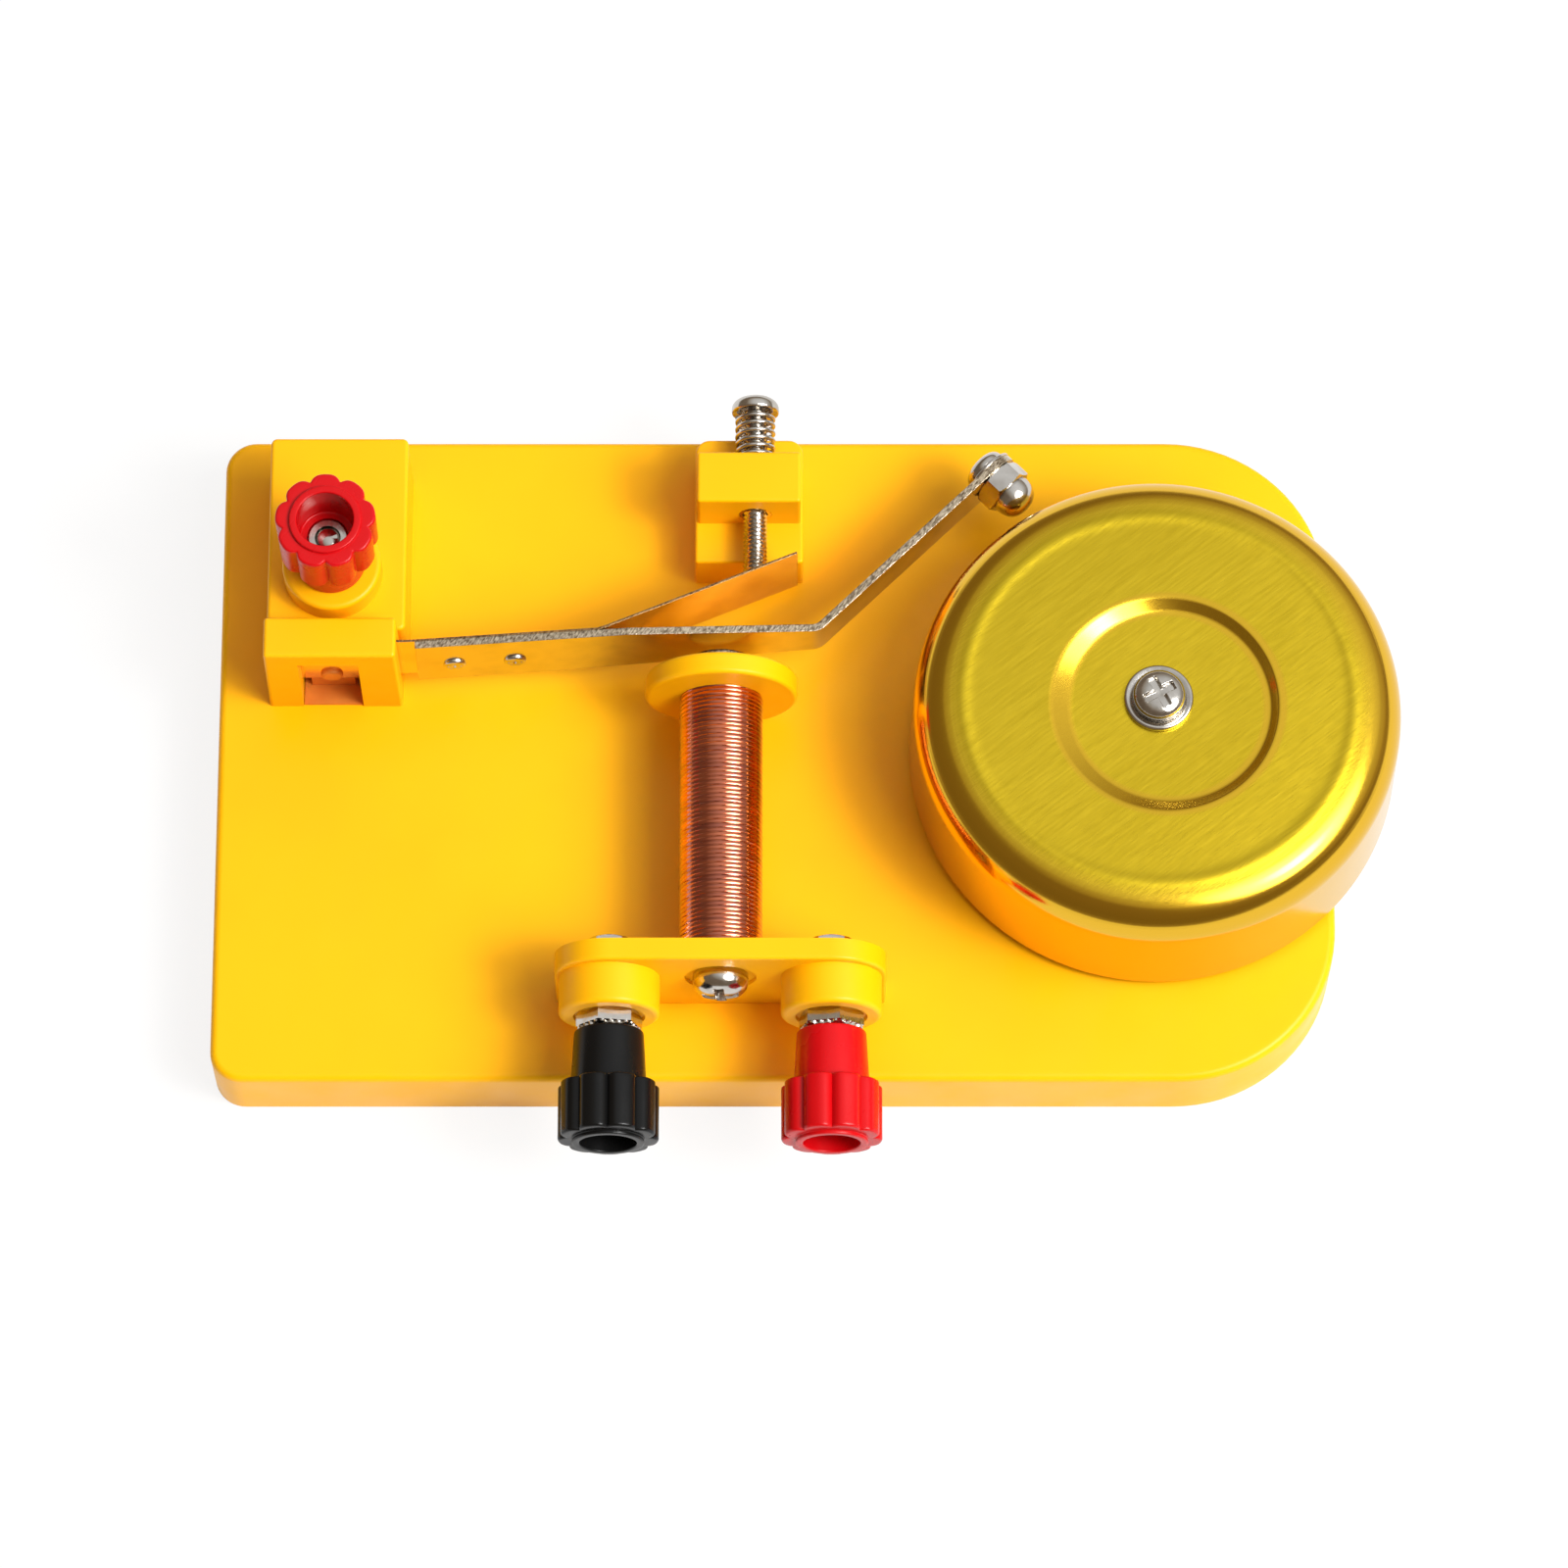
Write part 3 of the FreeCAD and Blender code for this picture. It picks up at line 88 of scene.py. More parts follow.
# light: a broad and a small lamp from the right and front, and air that is bright above and warm and dim
# to the left, to the front and low down
studio = {
    "floorColour": (246, 246, 245), "floorGlow": 0.86, "floorRoughness": 0.9, "floorGloss": 0.1,
    "floorReach": 30,
    # place, size, power in watts, both aimed at the middle of the base
    "lamps": {
        "keyLamp": ((0.72, -0.33, 1.03), 0.95, 17.0),
        "coreLamp": ((0.70, -0.32, 1.00), 0.30, 6.4),
    },
    "brightSide": (0.351, 0.251, 0.902),
    # cosine of the angle from the bright side, red, green and blue there: warm where it is dim
    "glow": ((0.0, 0.21, 0.16, 0.11), (0.50, 0.24, 0.18, 0.13), (0.64, 0.46, 0.40, 0.33),
             (0.77, 0.57, 0.55, 0.51), (0.87, 0.78, 0.78, 0.78), (1.0, 0.90, 0.90, 0.90)),
    # height of the direction above the horizon, red, green and blue there
    "horizon": ((0.0, 0.92, 0.92, 0.92), (0.02, 0.92, 0.92, 0.92), (0.04, 0.33, 0.27, 0.21),
                (0.10, 0.26, 0.21, 0.16), (0.26, 0.21, 0.16, 0.11)),
}
for name, (place, size, power) in studio["lamps"].items():
    lampData = bpy.data.lights.new(name, "AREA")
    lampData.shape, lampData.size, lampData.energy = "DISK", size, power
    lamp = bpy.data.objects.new(name, lampData)
    lamp.location = place
    lamp.rotation_euler = (Vector(place) - Vector((0, 0, 0.02))).to_track_quat("Z", "Y").to_euler()
    scene.collection.objects.link(lamp)
scene.view_settings.view_transform = "Standard"

world = bpy.data.worlds.new("studioAir")
scene.world = world
world.use_nodes = True
airNodes, airLinks = world.node_tree.nodes, world.node_tree.links
airNodes.clear()
airOut = airNodes.new("ShaderNodeOutputWorld")
air = airNodes.new("ShaderNodeBackground")
airPlace = airNodes.new("ShaderNodeTexCoord")
airParts = airNodes.new("ShaderNodeSeparateXYZ")
airSide = airNodes.new("ShaderNodeVectorMath")
airSide.operation = "DOT_PRODUCT"
airSide.inputs[1].default_value = studio["brightSide"]
airLevel = airNodes.new("ShaderNodeMix")
airLevel.data_type, airLevel.blend_type = "RGBA", "LIGHTEN"
airLevel.inputs["Factor"].default_value = 1
airLinks.new(airPlace.outputs["Generated"], airParts.inputs[0])
airLinks.new(airPlace.outputs["Generated"], airSide.inputs[0])
for socket, source, stops in (("A", airSide.outputs["Value"], studio["glow"]),
                              ("B", airParts.outputs["Z"], studio["horizon"])):
    ramp = airNodes.new("ShaderNodeValToRGB")
    ramp.color_ramp.elements.remove(ramp.color_ramp.elements[1])
    for index, (position, *shade) in enumerate(stops):
        stop = ramp.color_ramp.elements[0] if index == 0 else ramp.color_ramp.elements.new(position)
        stop.position, stop.color = position, (*shade, 1)
    airLinks.new(source, ramp.inputs["Fac"])
    airLinks.new(ramp.outputs["Color"], airLevel.inputs[socket])
airLinks.new(airLevel.outputs["Result"], air.inputs["Color"])
airLinks.new(air.outputs[0], airOut.inputs["Surface"])


# materials
def newMaterial(name):
    material = bpy.data.materials.new(name)
    material.use_nodes = True
    tree = material.node_tree
    return material, tree, tree.nodes["Principled BSDF"]


def addNoise(tree, scale, detail=3.0, stretch=(1, 1, 1), turned=0.0):
    place = tree.nodes.new("ShaderNodeTexCoord")
    turning = tree.nodes.new("ShaderNodeMapping")
    turning.inputs["Rotation"].default_value = (0, 0, turned)
    mapping = tree.nodes.new("ShaderNodeMapping")
    mapping.inputs["Scale"].default_value = stretch
    noise = tree.nodes.new("ShaderNodeTexNoise")
    noise.inputs["Scale"].default_value = scale
    noise.inputs["Detail"].default_value = detail
    tree.links.new(place.outputs["Object"], turning.inputs["Vector"])
    tree.links.new(turning.outputs["Vector"], mapping.inputs["Vector"])
    tree.links.new(mapping.outputs["Vector"], noise.inputs["Vector"])
    return noise.outputs["Fac"]


def spread(tree, source, low, high, start=0.0, end=1.0):
    # start..end becomes low..high
    remap = tree.nodes.new("ShaderNodeMapRange")
    remap.inputs["From Min"].default_value = start
    remap.inputs["From Max"].default_value = end
    remap.inputs["To Min"].default_value = low
    remap.inputs["To Max"].default_value = high
    tree.links.new(source, remap.inputs["Value"])
    return remap.outputs["Result"]


def compute(tree, operation, first, second):
    step = tree.nodes.new("ShaderNodeMath")
    step.operation = operation
    for socket, value in zip(step.inputs, (first, second)):
        if isinstance(value, (int, float)):
            socket.default_value = value
        else:
            tree.links.new(value, socket)
    return step.outputs[0]


def mixColours(tree, factor, first, second):
    # each of the two is a colour or another node's output
    mix = tree.nodes.new("ShaderNodeMix")
    mix.data_type = "RGBA"
    for socketName, value in (("A", first), ("B", second)):
        if isinstance(value, tuple):
            mix.inputs[socketName].default_value = value
        else:
            tree.links.new(value, mix.inputs[socketName])
    tree.links.new(factor, mix.inputs["Factor"])
    return mix.outputs["Result"]


def addBumps(tree, shader, *layers, below=None):
    # each layer is height, strength, depth in metres; they are stacked on one another
    for height, strength, depth in layers:
        bump = tree.nodes.new("ShaderNodeBump")
        bump.inputs["Strength"].default_value = strength
        bump.inputs["Distance"].default_value = depth
        tree.links.new(height, bump.inputs["Height"])
        if below:
            tree.links.new(below, bump.inputs["Normal"])
        below = bump.outputs["Normal"]
    tree.links.new(below, shader.inputs["Normal"])


mouldedSkin = {"cloudScale": 34, "rubScale": 130, "rippleScale": 26, "grainScale": 2600}


def plastic(name, shade, deeper, roughness, gloss, grain=0.000012, ripple=0.00012):
    # moulded skin: clouded colour, fine grain, slow sink ripples and rubbed patches
    material, tree, shader = newMaterial(name)
    shader.inputs["IOR"].default_value = 1.48
    shader.inputs["Specular IOR Level"].default_value = gloss
    cloud = addNoise(tree, mouldedSkin["cloudScale"])
    tree.links.new(mixColours(tree, spread(tree, cloud, 0, 1, 0.35, 0.65), shade, deeper),
                   shader.inputs["Base Color"])
    rubbed = addNoise(tree, mouldedSkin["rubScale"], 4, (1, 0.35, 1), 0.5)
    tree.links.new(spread(tree, rubbed, roughness - 0.07, roughness + 0.09, 0.3, 0.7),
                   shader.inputs["Roughness"])
    addBumps(tree, shader, (addNoise(tree, mouldedSkin["rippleScale"], 2), 0.5, ripple),
             (addNoise(tree, mouldedSkin["grainScale"], 2), 0.35, grain))
    return material


metalSkin = {"smudgeScale": 220, "hatchScale": 4600, "hatchDepth": 0.00006, "brokenCorner": 0.00022}


def metal(name, shade, tarnish, roughness, stretch=(1, 1, 1), scale=1500, depth=0.000006, edgeHatchAndPaintedShade=None,
          metallic=1.0):
    # plated or rolled metal: streaks in roughness and bump, tarnish clouds; the edge shades, if given, are
    # the light and dark shade of the hatching on the sheared edges that face up or down, whose corners are
    # broken. The hatch is real;
    # that both its shades are darker than the face is painted shade, standing in for the dark reflection on
    # those edges
    material, tree, shader = newMaterial(name)
    shader.inputs["Metallic"].default_value = metallic
    streak = addNoise(tree, scale, 3, stretch)
    smudge = addNoise(tree, metalSkin["smudgeScale"])
    tone = mixColours(tree, spread(tree, smudge, 0, 1, 0.42, 0.75), shade, tarnish)
    level = spread(tree, streak, roughness - 0.05, roughness + 0.07, 0.3, 0.7)
    layers, corner = [(streak, 0.3, depth)], None
    if edgeHatchAndPaintedShade:
        place = tree.nodes.new("ShaderNodeTexCoord")
        parts = tree.nodes.new("ShaderNodeSeparateXYZ")
        tree.links.new(place.outputs["Normal"], parts.inputs[0])
        # faces that point up or down take the hatch, whose darker tone is painted shade
        edge = spread(tree, compute(tree, "ABSOLUTE", parts.outputs["Z"], 0), 0, 1, 0.5, 0.8)
        torn = addNoise(tree, metalSkin["hatchScale"], 3, (1, 0.3, 1), 0.6)
        hatchAndPaintedShade = mixColours(tree, spread(tree, torn, 0, 1, 0.36, 0.64), *edgeHatchAndPaintedShade)
        tone = mixColours(tree, edge, tone, hatchAndPaintedShade)
        level = compute(tree, "ADD", level, compute(tree, "MULTIPLY", edge, 0.12))
        layers.append((compute(tree, "MULTIPLY", torn, edge), 0.8, metalSkin["hatchDepth"]))
        bevel = tree.nodes.new("ShaderNodeBevel")
        bevel.samples = 4
        bevel.inputs["Radius"].default_value = metalSkin["brokenCorner"]
        corner = bevel.outputs["Normal"]
    tree.links.new(tone, shader.inputs["Base Color"])
    tree.links.new(level, shader.inputs["Roughness"])
    addBumps(tree, shader, *layers, below=corner)
    return material


gongFinish = {
    "shade": (222, 192, 46), "olive": (206, 177, 38), "polished": (232, 184, 54),
    "crownRoughness": 0.31, "wallRoughness": 0.15, "centre": (60.9, 0), "ringCentre": (62.3, -1.1),
    "brushedTo": 31.6, "polishedFrom": 35.6, "ring": 17.05, "ringFrom": 1.4, "ringTo": 2.1, "streakTurn": -38,
    "streakScale": 2100, "fineScale": 4200, "cloudScale": 22, "dentScale": 55,
}


def goldSheet(name, finish):
    # brushed across the crown in one direction, polished over the shoulder, the wall and the pressed ring:
    # the share of brushing is a function of the distance from the gong's axis and from the ring's own
    material, tree, shader = newMaterial(name)
    shader.inputs["Metallic"].default_value = 1
    place = tree.nodes.new("ShaderNodeTexCoord")

    def distance(centre):
        centring = tree.nodes.new("ShaderNodeMapping")
        centring.inputs["Location"].default_value = (*(-np.array(centre) * millimetre).tolist(), 0)
        centring.inputs["Scale"].default_value = (1, 1, 0)
        away = tree.nodes.new("ShaderNodeVectorMath")
        away.operation = "LENGTH"
        tree.links.new(place.outputs["Object"], centring.inputs["Vector"])
        tree.links.new(centring.outputs["Vector"], away.inputs[0])
        return away.outputs["Value"]

    inner = spread(tree, distance(finish["centre"]), 1, 0, finish["brushedTo"] * millimetre,
                   finish["polishedFrom"] * millimetre)
    fromRing = compute(tree, "ABSOLUTE", compute(tree, "SUBTRACT", distance(finish["ringCentre"]),
                                                 finish["ring"] * millimetre), 0)
    outer = spread(tree, fromRing, 0.25, 1, finish["ringFrom"] * millimetre, finish["ringTo"] * millimetre)
    brushed = compute(tree, "MULTIPLY", inner, outer)
    turned = math.radians(finish["streakTurn"])
    streak = addNoise(tree, finish["streakScale"], 4, (0.06, 1, 1), turned)
    fine = addNoise(tree, finish["fineScale"], 3, (0.1, 1, 1), turned)
    cloud = addNoise(tree, finish["cloudScale"], 2, (0.6, 1, 1), turned)
    tone = compute(tree, "ADD", compute(tree, "MULTIPLY", streak, 0.6),
                   compute(tree, "MULTIPLY", cloud, 0.4))
    satin = mixColours(tree, spread(tree, tone, 0, 1, 0.38, 0.62), colour(*finish["shade"]),
                       colour(*finish["olive"]))
    tree.links.new(mixColours(tree, brushed, colour(*finish["polished"]), satin), shader.inputs["Base Color"])
    rough = spread(tree, fine, finish["crownRoughness"] - 0.05, finish["crownRoughness"] + 0.07, 0.3, 0.7)
    lift = compute(tree, "SUBTRACT", rough, finish["wallRoughness"])
    tree.links.new(compute(tree, "ADD", compute(tree, "MULTIPLY", lift, brushed), finish["wallRoughness"]),
                   shader.inputs["Roughness"])
    addBumps(tree, shader, (addNoise(tree, finish["dentScale"], 2), 0.35, 0.00018),
             (compute(tree, "MULTIPLY", fine, brushed), 0.4, 0.000007),
             (compute(tree, "MULTIPLY", streak, brushed), 0.3, 0.000008))
    return material


varnish = {"coatRoughness": 0.12, "coatIor": 1.85, "turnScale": (60, 1100, 60), "grainScale": 1600,
           "smoothest": 0.15, "roughest": 0.23}


def enamelledCopper(name, shade, darker):
    # varnished wire: the tone changes from turn to turn along the coil
    material, tree, shader = newMaterial(name)
    shader.inputs["Metallic"].default_value = 1
    shader.inputs["Coat Weight"].default_value = 1
    shader.inputs["Coat Roughness"].default_value = varnish["coatRoughness"]
    shader.inputs["Coat IOR"].default_value = varnish["coatIor"]
    turns = addNoise(tree, 1, 3, varnish["turnScale"])
    tree.links.new(mixColours(tree, spread(tree, turns, 0, 1, 0.3, 0.7), shade, darker),
                   shader.inputs["Base Color"])
    tree.links.new(spread(tree, turns, varnish["smoothest"], varnish["roughest"], 0.3, 0.7),
                   shader.inputs["Roughness"])
    addBumps(tree, shader, (addNoise(tree, varnish["grainScale"], 2, (1, 0.4, 1)), 0.25, 0.00002))
    return material


yellow = plastic("yellowMoulding", colour(252, 185, 3), colour(251, 180, 3), 0.36, 0.22)
red = plastic("redCap", colour(203, 7, 16), colour(190, 5, 12), 0.26, 0.26, 0.000016, 0.00005)
black = plastic("blackCap", colour(17, 17, 17), colour(12, 12, 12), 0.26, 0.22, 0.000016, 0.00005)
nickel = metal("nickelPlate", colour(204, 200, 194), colour(170, 163, 153), 0.15)
# the iron's and the bronze's edge shades are darker than their faces: painted shade for the dark reflection
# on their top and bottom edges, over a real hatch
iron = metal("rolledIron", colour(210, 202, 186), colour(194, 186, 170), 0.15, (1, 1, 14), 420,
             edgeHatchAndPaintedShade=(colour(220, 204, 178), colour(112, 94, 72)))
bronze = metal("springBronze", colour(246, 214, 146), colour(234, 196, 124), 0.15, (1, 1, 14), 420,
               edgeHatchAndPaintedShade=(colour(190, 150, 100), colour(86, 62, 40)))
copperSheet = metal("copperStrip", colour(214, 130, 46), colour(204, 116, 38), 0.46, (1, 8, 1), 300,
                    metallic=0.25)
copper = enamelledCopper("copperWire", colour(222, 108, 44), colour(160, 60, 18))
brass = metal("turnedBrass", colour(222, 190, 116), colour(198, 162, 92), 0.24)
gold = goldSheet("goldGong", gongFinish)

finishes = {
    "yellow_plastic": yellow, "red_plastic": red, "black_plastic": black, "gong_metal": gold,
    "nickel_steel": nickel, "soft_iron": iron, "spring_bronze": bronze, "copper_wire": copper,
    "copper_strip": copperSheet, "turned_brass": brass,
}
for part in frame["record"]["subparts"]:
    slots = nodes[part["node"]].data.materials
    slots.clear()
    slots.append(finishes[part["material_slot"]])
print("materials set")


# surfaces on a grid
def skin(rings, start=None, end=None, loop=False):
    # rings[i, j] is joined to the next ring and to the next point round; start and end are points that
    # close the first and last ring with a fan; loop joins the last ring to the first
    rows, columns = rings.shape[:2]
    points = rings.reshape(-1, 3)
    i = np.arange(rows if loop else rows - 1)[:, None]
    j = np.arange(columns)[None, :]
    after, ahead = (i + 1) % rows * columns, (j + 1) % columns
    quads = np.stack([i * columns + j, i * columns + ahead, after + ahead, after + j], -1).reshape(-1, 4)
    here = np.arange(columns)
    beside = (here + 1) % columns
    fans = np.zeros((0, 3), int)
    if start is not None:
        fans = np.vstack([fans, np.stack([np.full(columns, len(points)), beside, here], -1)])
        points = np.vstack([points, start])
    if end is not None:
        last = (rows - 1) * columns
        fans = np.vstack([fans, np.stack([np.full(columns, len(points)), last + here, last + beside], -1)])
        points = np.vstack([points, end])
    triangles = np.vstack([quads[:, :3], quads[:, [0, 2, 3]], fans])
    a, b, c = (points[triangles[:, k]] for k in range(3))
    if np.einsum("ij,ij->i", a, np.cross(b, c)).sum() < 0:  # inside out
        quads, fans = quads[:, ::-1], fans[:, ::-1]
    return points, quads, fans


def stand(shell, origin, up, side=(1, 0, 0)):
    # local x, y, z go along side, up x side and up, from the origin
    up, side = np.array(up, float), np.array(side, float)
    points, quads, fans = shell
    return np.array(origin) + points @ np.array([side, np.cross(up, side), up]), quads, fans


def makePiece(name, shells, slotName, replaced, rideOn=None, sharp=38):
    # shells in millimetres become one mesh in metres that stands for the replaced nodes
    points, faces, first = [], [], 0
    for shellPoints, quads, fans in shells:
        points.append(shellPoints)
        faces += (quads + first).tolist() + (fans + first).tolist()
        first += len(shellPoints)
    mesh = bpy.data.meshes.new(name)
    mesh.from_pydata((np.vstack(points) * millimetre).tolist(), [], faces)
    mesh.shade_smooth()
    mesh.set_sharp_from_angle(angle=math.radians(sharp))
    mesh.materials.append(finishes[slotName])
    piece = bpy.data.objects.new(name, mesh)
    scene.collection.objects.link(piece)
    if rideOn:
        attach(piece, rideOn)
    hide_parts(*replaced)
    print(name, len(faces), "faces")
    return piece


def rounded(corners, radii, steps=6):
    # a polyline whose corners become arcs: each arc blends between its two tangent points round a
    # centre on the corner's bisector
    corners = np.array(corners, float)
    path = []
    for i, radius in enumerate(radii):
        here, back, ahead = corners[i], corners[i - 1], corners[(i + 1) % len(corners)]
        if radius == 0:
            path.append(here[None])
            continue
        u, v = back - here, ahead - here
        u, v = u / np.linalg.norm(u), v / np.linalg.norm(v)
        half = np.arccos(np.clip(u @ v, -1, 1)) / 2
        centre = here + (u + v) / np.linalg.norm(u + v) * radius / np.sin(half)
        first, last = here + u * radius / np.tan(half) - centre, here + v * radius / np.tan(half) - centre
        sweep, t = np.pi - 2 * half, np.linspace(0, 1, steps + 1)[:, None]
        path.append(centre + (np.sin((1 - t) * sweep) * first + np.sin(t * sweep) * last) / np.sin(sweep))
    return np.vstack(path)


def filled(path, step):
    # more points on the long runs of a path, by linear interpolation over its length
    length = np.concatenate([[0], np.cumsum(np.linalg.norm(np.diff(path, axis=0), axis=1))])
    extra = np.arange(step / 2, length[-1], step)
    places = np.sort(np.concatenate([length, extra]))
    places = places[np.concatenate([[True], np.diff(places) > step * 0.08])]
    return np.stack([np.interp(places, length, path[:, k]) for k in (0, 1)], -1)


def angles(columns):
    # even steps of one full turn
    return np.arange(columns) / columns * fullTurn


def around(r, z, angle):
    # radius, height and angle become r cos a, r sin a, z
    return np.stack(np.broadcast_arrays(r * np.cos(angle), r * np.sin(angle), z + 0 * angle), -1)


def spun(section, columns):
    # turned shape: every section point r, z goes once round the axis
    return around(section[:, 0, None], section[:, 1, None], angles(columns))


def fade(value):
    # 0 to 1 with level ends: 3 t^2 - 2 t^3
    t = np.clip(value, 0, 1)
    return t * t * (3 - 2 * t)


# gong: one pressed sheet, its inside set off along the outside's normals
gongSizes = {
    "radius": 39.2, "taper": 0.5, "rim": 15.8, "top": 41.2, "shoulder": 7, "sheet": 1, "hole": 2.2,
    "recessOuter": 18.1, "recessInner": 16.0, "recessDrop": 1.2, "lip": 1.6, "foot": 0.9, "fall": 0.5,
    "bead": 0.21, "beadRadius": 31.0, "beadWidth": 1.0, "columns": 228,
    # radius and how far the sheet is pressed off centre there, in x and in y
    "offCentre": ((6, 0, 0), (13, 1.9, -1.1), (16.0, 1.9, -1.1),
                  (18.1, 0.9, -1.1), (20, 0.9, -1.1), (28, 0, 0)),
}


def gongShell(sizes):
    # turned shape: a rounded outside profile, the inside one sheet further in along its normals, and half
    # a circle between them at the rim
    half, top = sizes["sheet"] / 2, sizes["top"]
    bottom = top - sizes["recessDrop"]
    outside = rounded([(sizes["radius"], sizes["rim"] + half),
                       (sizes["radius"] - sizes["taper"], top - sizes["fall"]),
                       (sizes["recessOuter"], top), (sizes["recessInner"], bottom), (sizes["hole"], bottom)],
                      [0, sizes["shoulder"], sizes["lip"], sizes["foot"], 0], 20)
    outside = filled(outside, 0.35)
    # a low bead where the crown ends: bead * exp(-((r - beadRadius) / beadWidth)^2)
    fromBead = (outside[:, 0] - sizes["beadRadius"]) / sizes["beadWidth"]
    outside[:, 1] += sizes["bead"] * np.exp(-fromBead ** 2)
    run = np.gradient(outside, axis=0)
    normal = np.stack([run[:, 1], -run[:, 0]], -1) / np.linalg.norm(run, axis=1)[:, None]
    inside = (outside - normal * sizes["sheet"])[::-1]
    bend = np.linspace(0, np.pi, 9)[1:-1, None]  # rolled edge of the rim
    middle = (outside[0] + inside[-1]) / 2
    rim = middle + half * np.hstack([-np.cos(bend), -np.sin(bend)])
    rings = spun(np.vstack([outside, inside, rim]), sizes["columns"])
    # the recess is off centre: x and y move by amounts that follow the radius
    radius, *moves = np.array(sizes["offCentre"], float).T
    moves = [np.interp(np.hypot(rings[..., 0], rings[..., 1]), radius, move) for move in moves]
    rings[..., :2] += np.stack(moves, -1)
    return skin(rings, loop=True)


gongAxis = (*gongFinish["centre"], 0)
makePiece("gongSheet", [stand(gongShell(gongSizes), gongAxis, (0, 0, 1))], "gong_metal", ["gong"], "base", 60)

# washers: turned rings with soft edges, the gong's one dished
washerSizes = {
    "gong_washer": {"inner": 2.1, "outer": 5.5, "thick": 1.2, "soft": 0.45, "rim": 1.3, "dish": 0.35},
    "hammer_washer": {"inner": 1.6, "outer": 4.3, "thick": 0.5, "soft": 0.2, "rim": 1.3, "dish": 0},
}


def washerShell(sizes):
    # turned shape: a rectangle with round corners, lower by the dish inside the rim
    inner, outer, thick, soft = sizes["inner"], sizes["outer"], sizes["thick"], sizes["soft"]
    section = rounded([(inner, 0), (outer, 0), (outer, thick), (outer - sizes["rim"], thick - sizes["dish"]),
                       (inner, thick - sizes["dish"])], [0.1, soft * 0.6, soft, 0.3, 0.1], 5)
    return skin(spun(section, 72), loop=True)


# pan-head screws: a domed head with a cross recess, and a threaded shank
# shares of the head's height or width, and the soft edge of the cross in millimetres
headForm = {"skirt": 0.3, "crossDepth": 0.55, "crossWidth": 0.155, "crossSpan": 0.62, "soft": 0.22}
machineScrew = {"shank": 3.9, "pitch": 0.7, "thread": 0.3, "slope": 0.4, "tip": 1.55, "columns": 144}


def screwShell(sizes):
    # head: z = skirt + (height - skirt) * sqrt(1 - (q / R)^3) over rings of radius q, less a cross whose
    # depth falls from the middle; shank: r = crest - depth * |2 fraction(z / pitch - a / fullTurn) - 1|
    radius, height, shank = sizes["head"] / 2, sizes["height"], sizes["shank"] / 2
    skirt = height * headForm["skirt"]
    angle = angles(sizes["columns"])
    t = np.linspace(0, 1, 45)[1:, None]
    q = radius * (1 - (1 - t) ** 1.5)
    x, y = q * np.cos(angle - sizes["turned"]), q * np.sin(angle - sizes["turned"])
    width, span = sizes["head"] * headForm["crossWidth"], sizes["head"] * headForm["crossSpan"]
    soft = headForm["soft"]

    def arm(along, across):
        return fade((width / 2 - np.abs(across)) / soft + 0.5) * fade((span / 2 - np.abs(along)) / soft + 0.5)

    cross = np.maximum(arm(x, y), arm(y, x))
    dome = skirt + (height - skirt) * np.sqrt(1 - (q / radius) ** 3)
    top = dome - height * headForm["crossDepth"] * cross * (1 - 0.5 * q / radius)
    head = around(q, top, angle)
    under = spun(np.array([(radius, skirt * 0.5), (radius - 0.06, 0.08), (radius - 0.2, 0), (shank, 0)]),
                 sizes["columns"])
    slope, length = sizes["slope"], sizes["length"]
    along = np.linspace(0.05, length - slope, max(3, int(length / sizes["pitch"] * 9)))[:, None]
    crest = shank - sizes["thread"] * np.abs(2 * ((along / sizes["pitch"] - angle / fullTurn) % 1) - 1)
    crest = np.where(along < 0.4, shank - sizes["thread"] * 0.3, crest)  # plain under the head
    rod = around(crest, -along, angle)
    tip = spun(np.array([(sizes["tip"], -length)]), sizes["columns"])
    return skin(np.concatenate([head, under, rod, tip]), (0, 0, top[0].min()), (0, 0, -length))


gongWasherLow, gongWasherHigh = nodeBox("gong_washer")
makePiece("gongWasher", [stand(washerShell(washerSizes["gong_washer"]), (gongAxis[0], 0, gongWasherLow[2]),
                               (0, 0, 1))], "nickel_steel", ["gong_washer"], "base")
gongScrew = {**machineScrew, "head": 8.3, "height": 2.5, "length": 14, "turned": math.radians(28)}
makePiece("gongScrewPiece", [stand(screwShell(gongScrew), (gongAxis[0], 0, gongWasherHigh[2]), (0, 0, 1))],
          "nickel_steel", ["gong_screw"], "base", 50)

coreScrew = {**machineScrew, "head": 8.9, "height": 3.9, "length": 13, "turned": math.radians(6)}
low, high = nodeBox("core_screw")
coreSeat = ((low[0] + high[0]) / 2, low[1] + coreScrew["height"], (low[2] + high[2]) / 2)
makePiece("coreScrewPiece", [stand(screwShell(coreScrew), coreSeat, (0, -1, 0))],
          "nickel_steel", ["core_screw"], "base", 50)

contactScrew = {**machineScrew, "head": 7.7, "height": 2.7, "thread": 0.42, "slope": 0.95, "tip": 1.0,
                "turned": math.radians(32)}
low, high = nodeBox("contact_screw")
contactAxis = ((low[0] + high[0]) / 2, (low[2] + high[2]) / 2)
headSeat = high[1] - contactScrew["height"]
contactScrew["length"] = headSeat - low[1]
makePiece("contactScrewPiece", [stand(screwShell(contactScrew), (contactAxis[0], headSeat, contactAxis[1]),
                                      (0, 1, 0))], "nickel_steel", ["contact_screw"], "contact_adjuster", 50)

# contact spring: a wire swept along a helix with closed end turns
springSizes = {"outer": 6.6, "wire": 0.75, "closed": 0.8, "open": 4.9, "lead": 0.6, "points": 44,
               "round": 14}


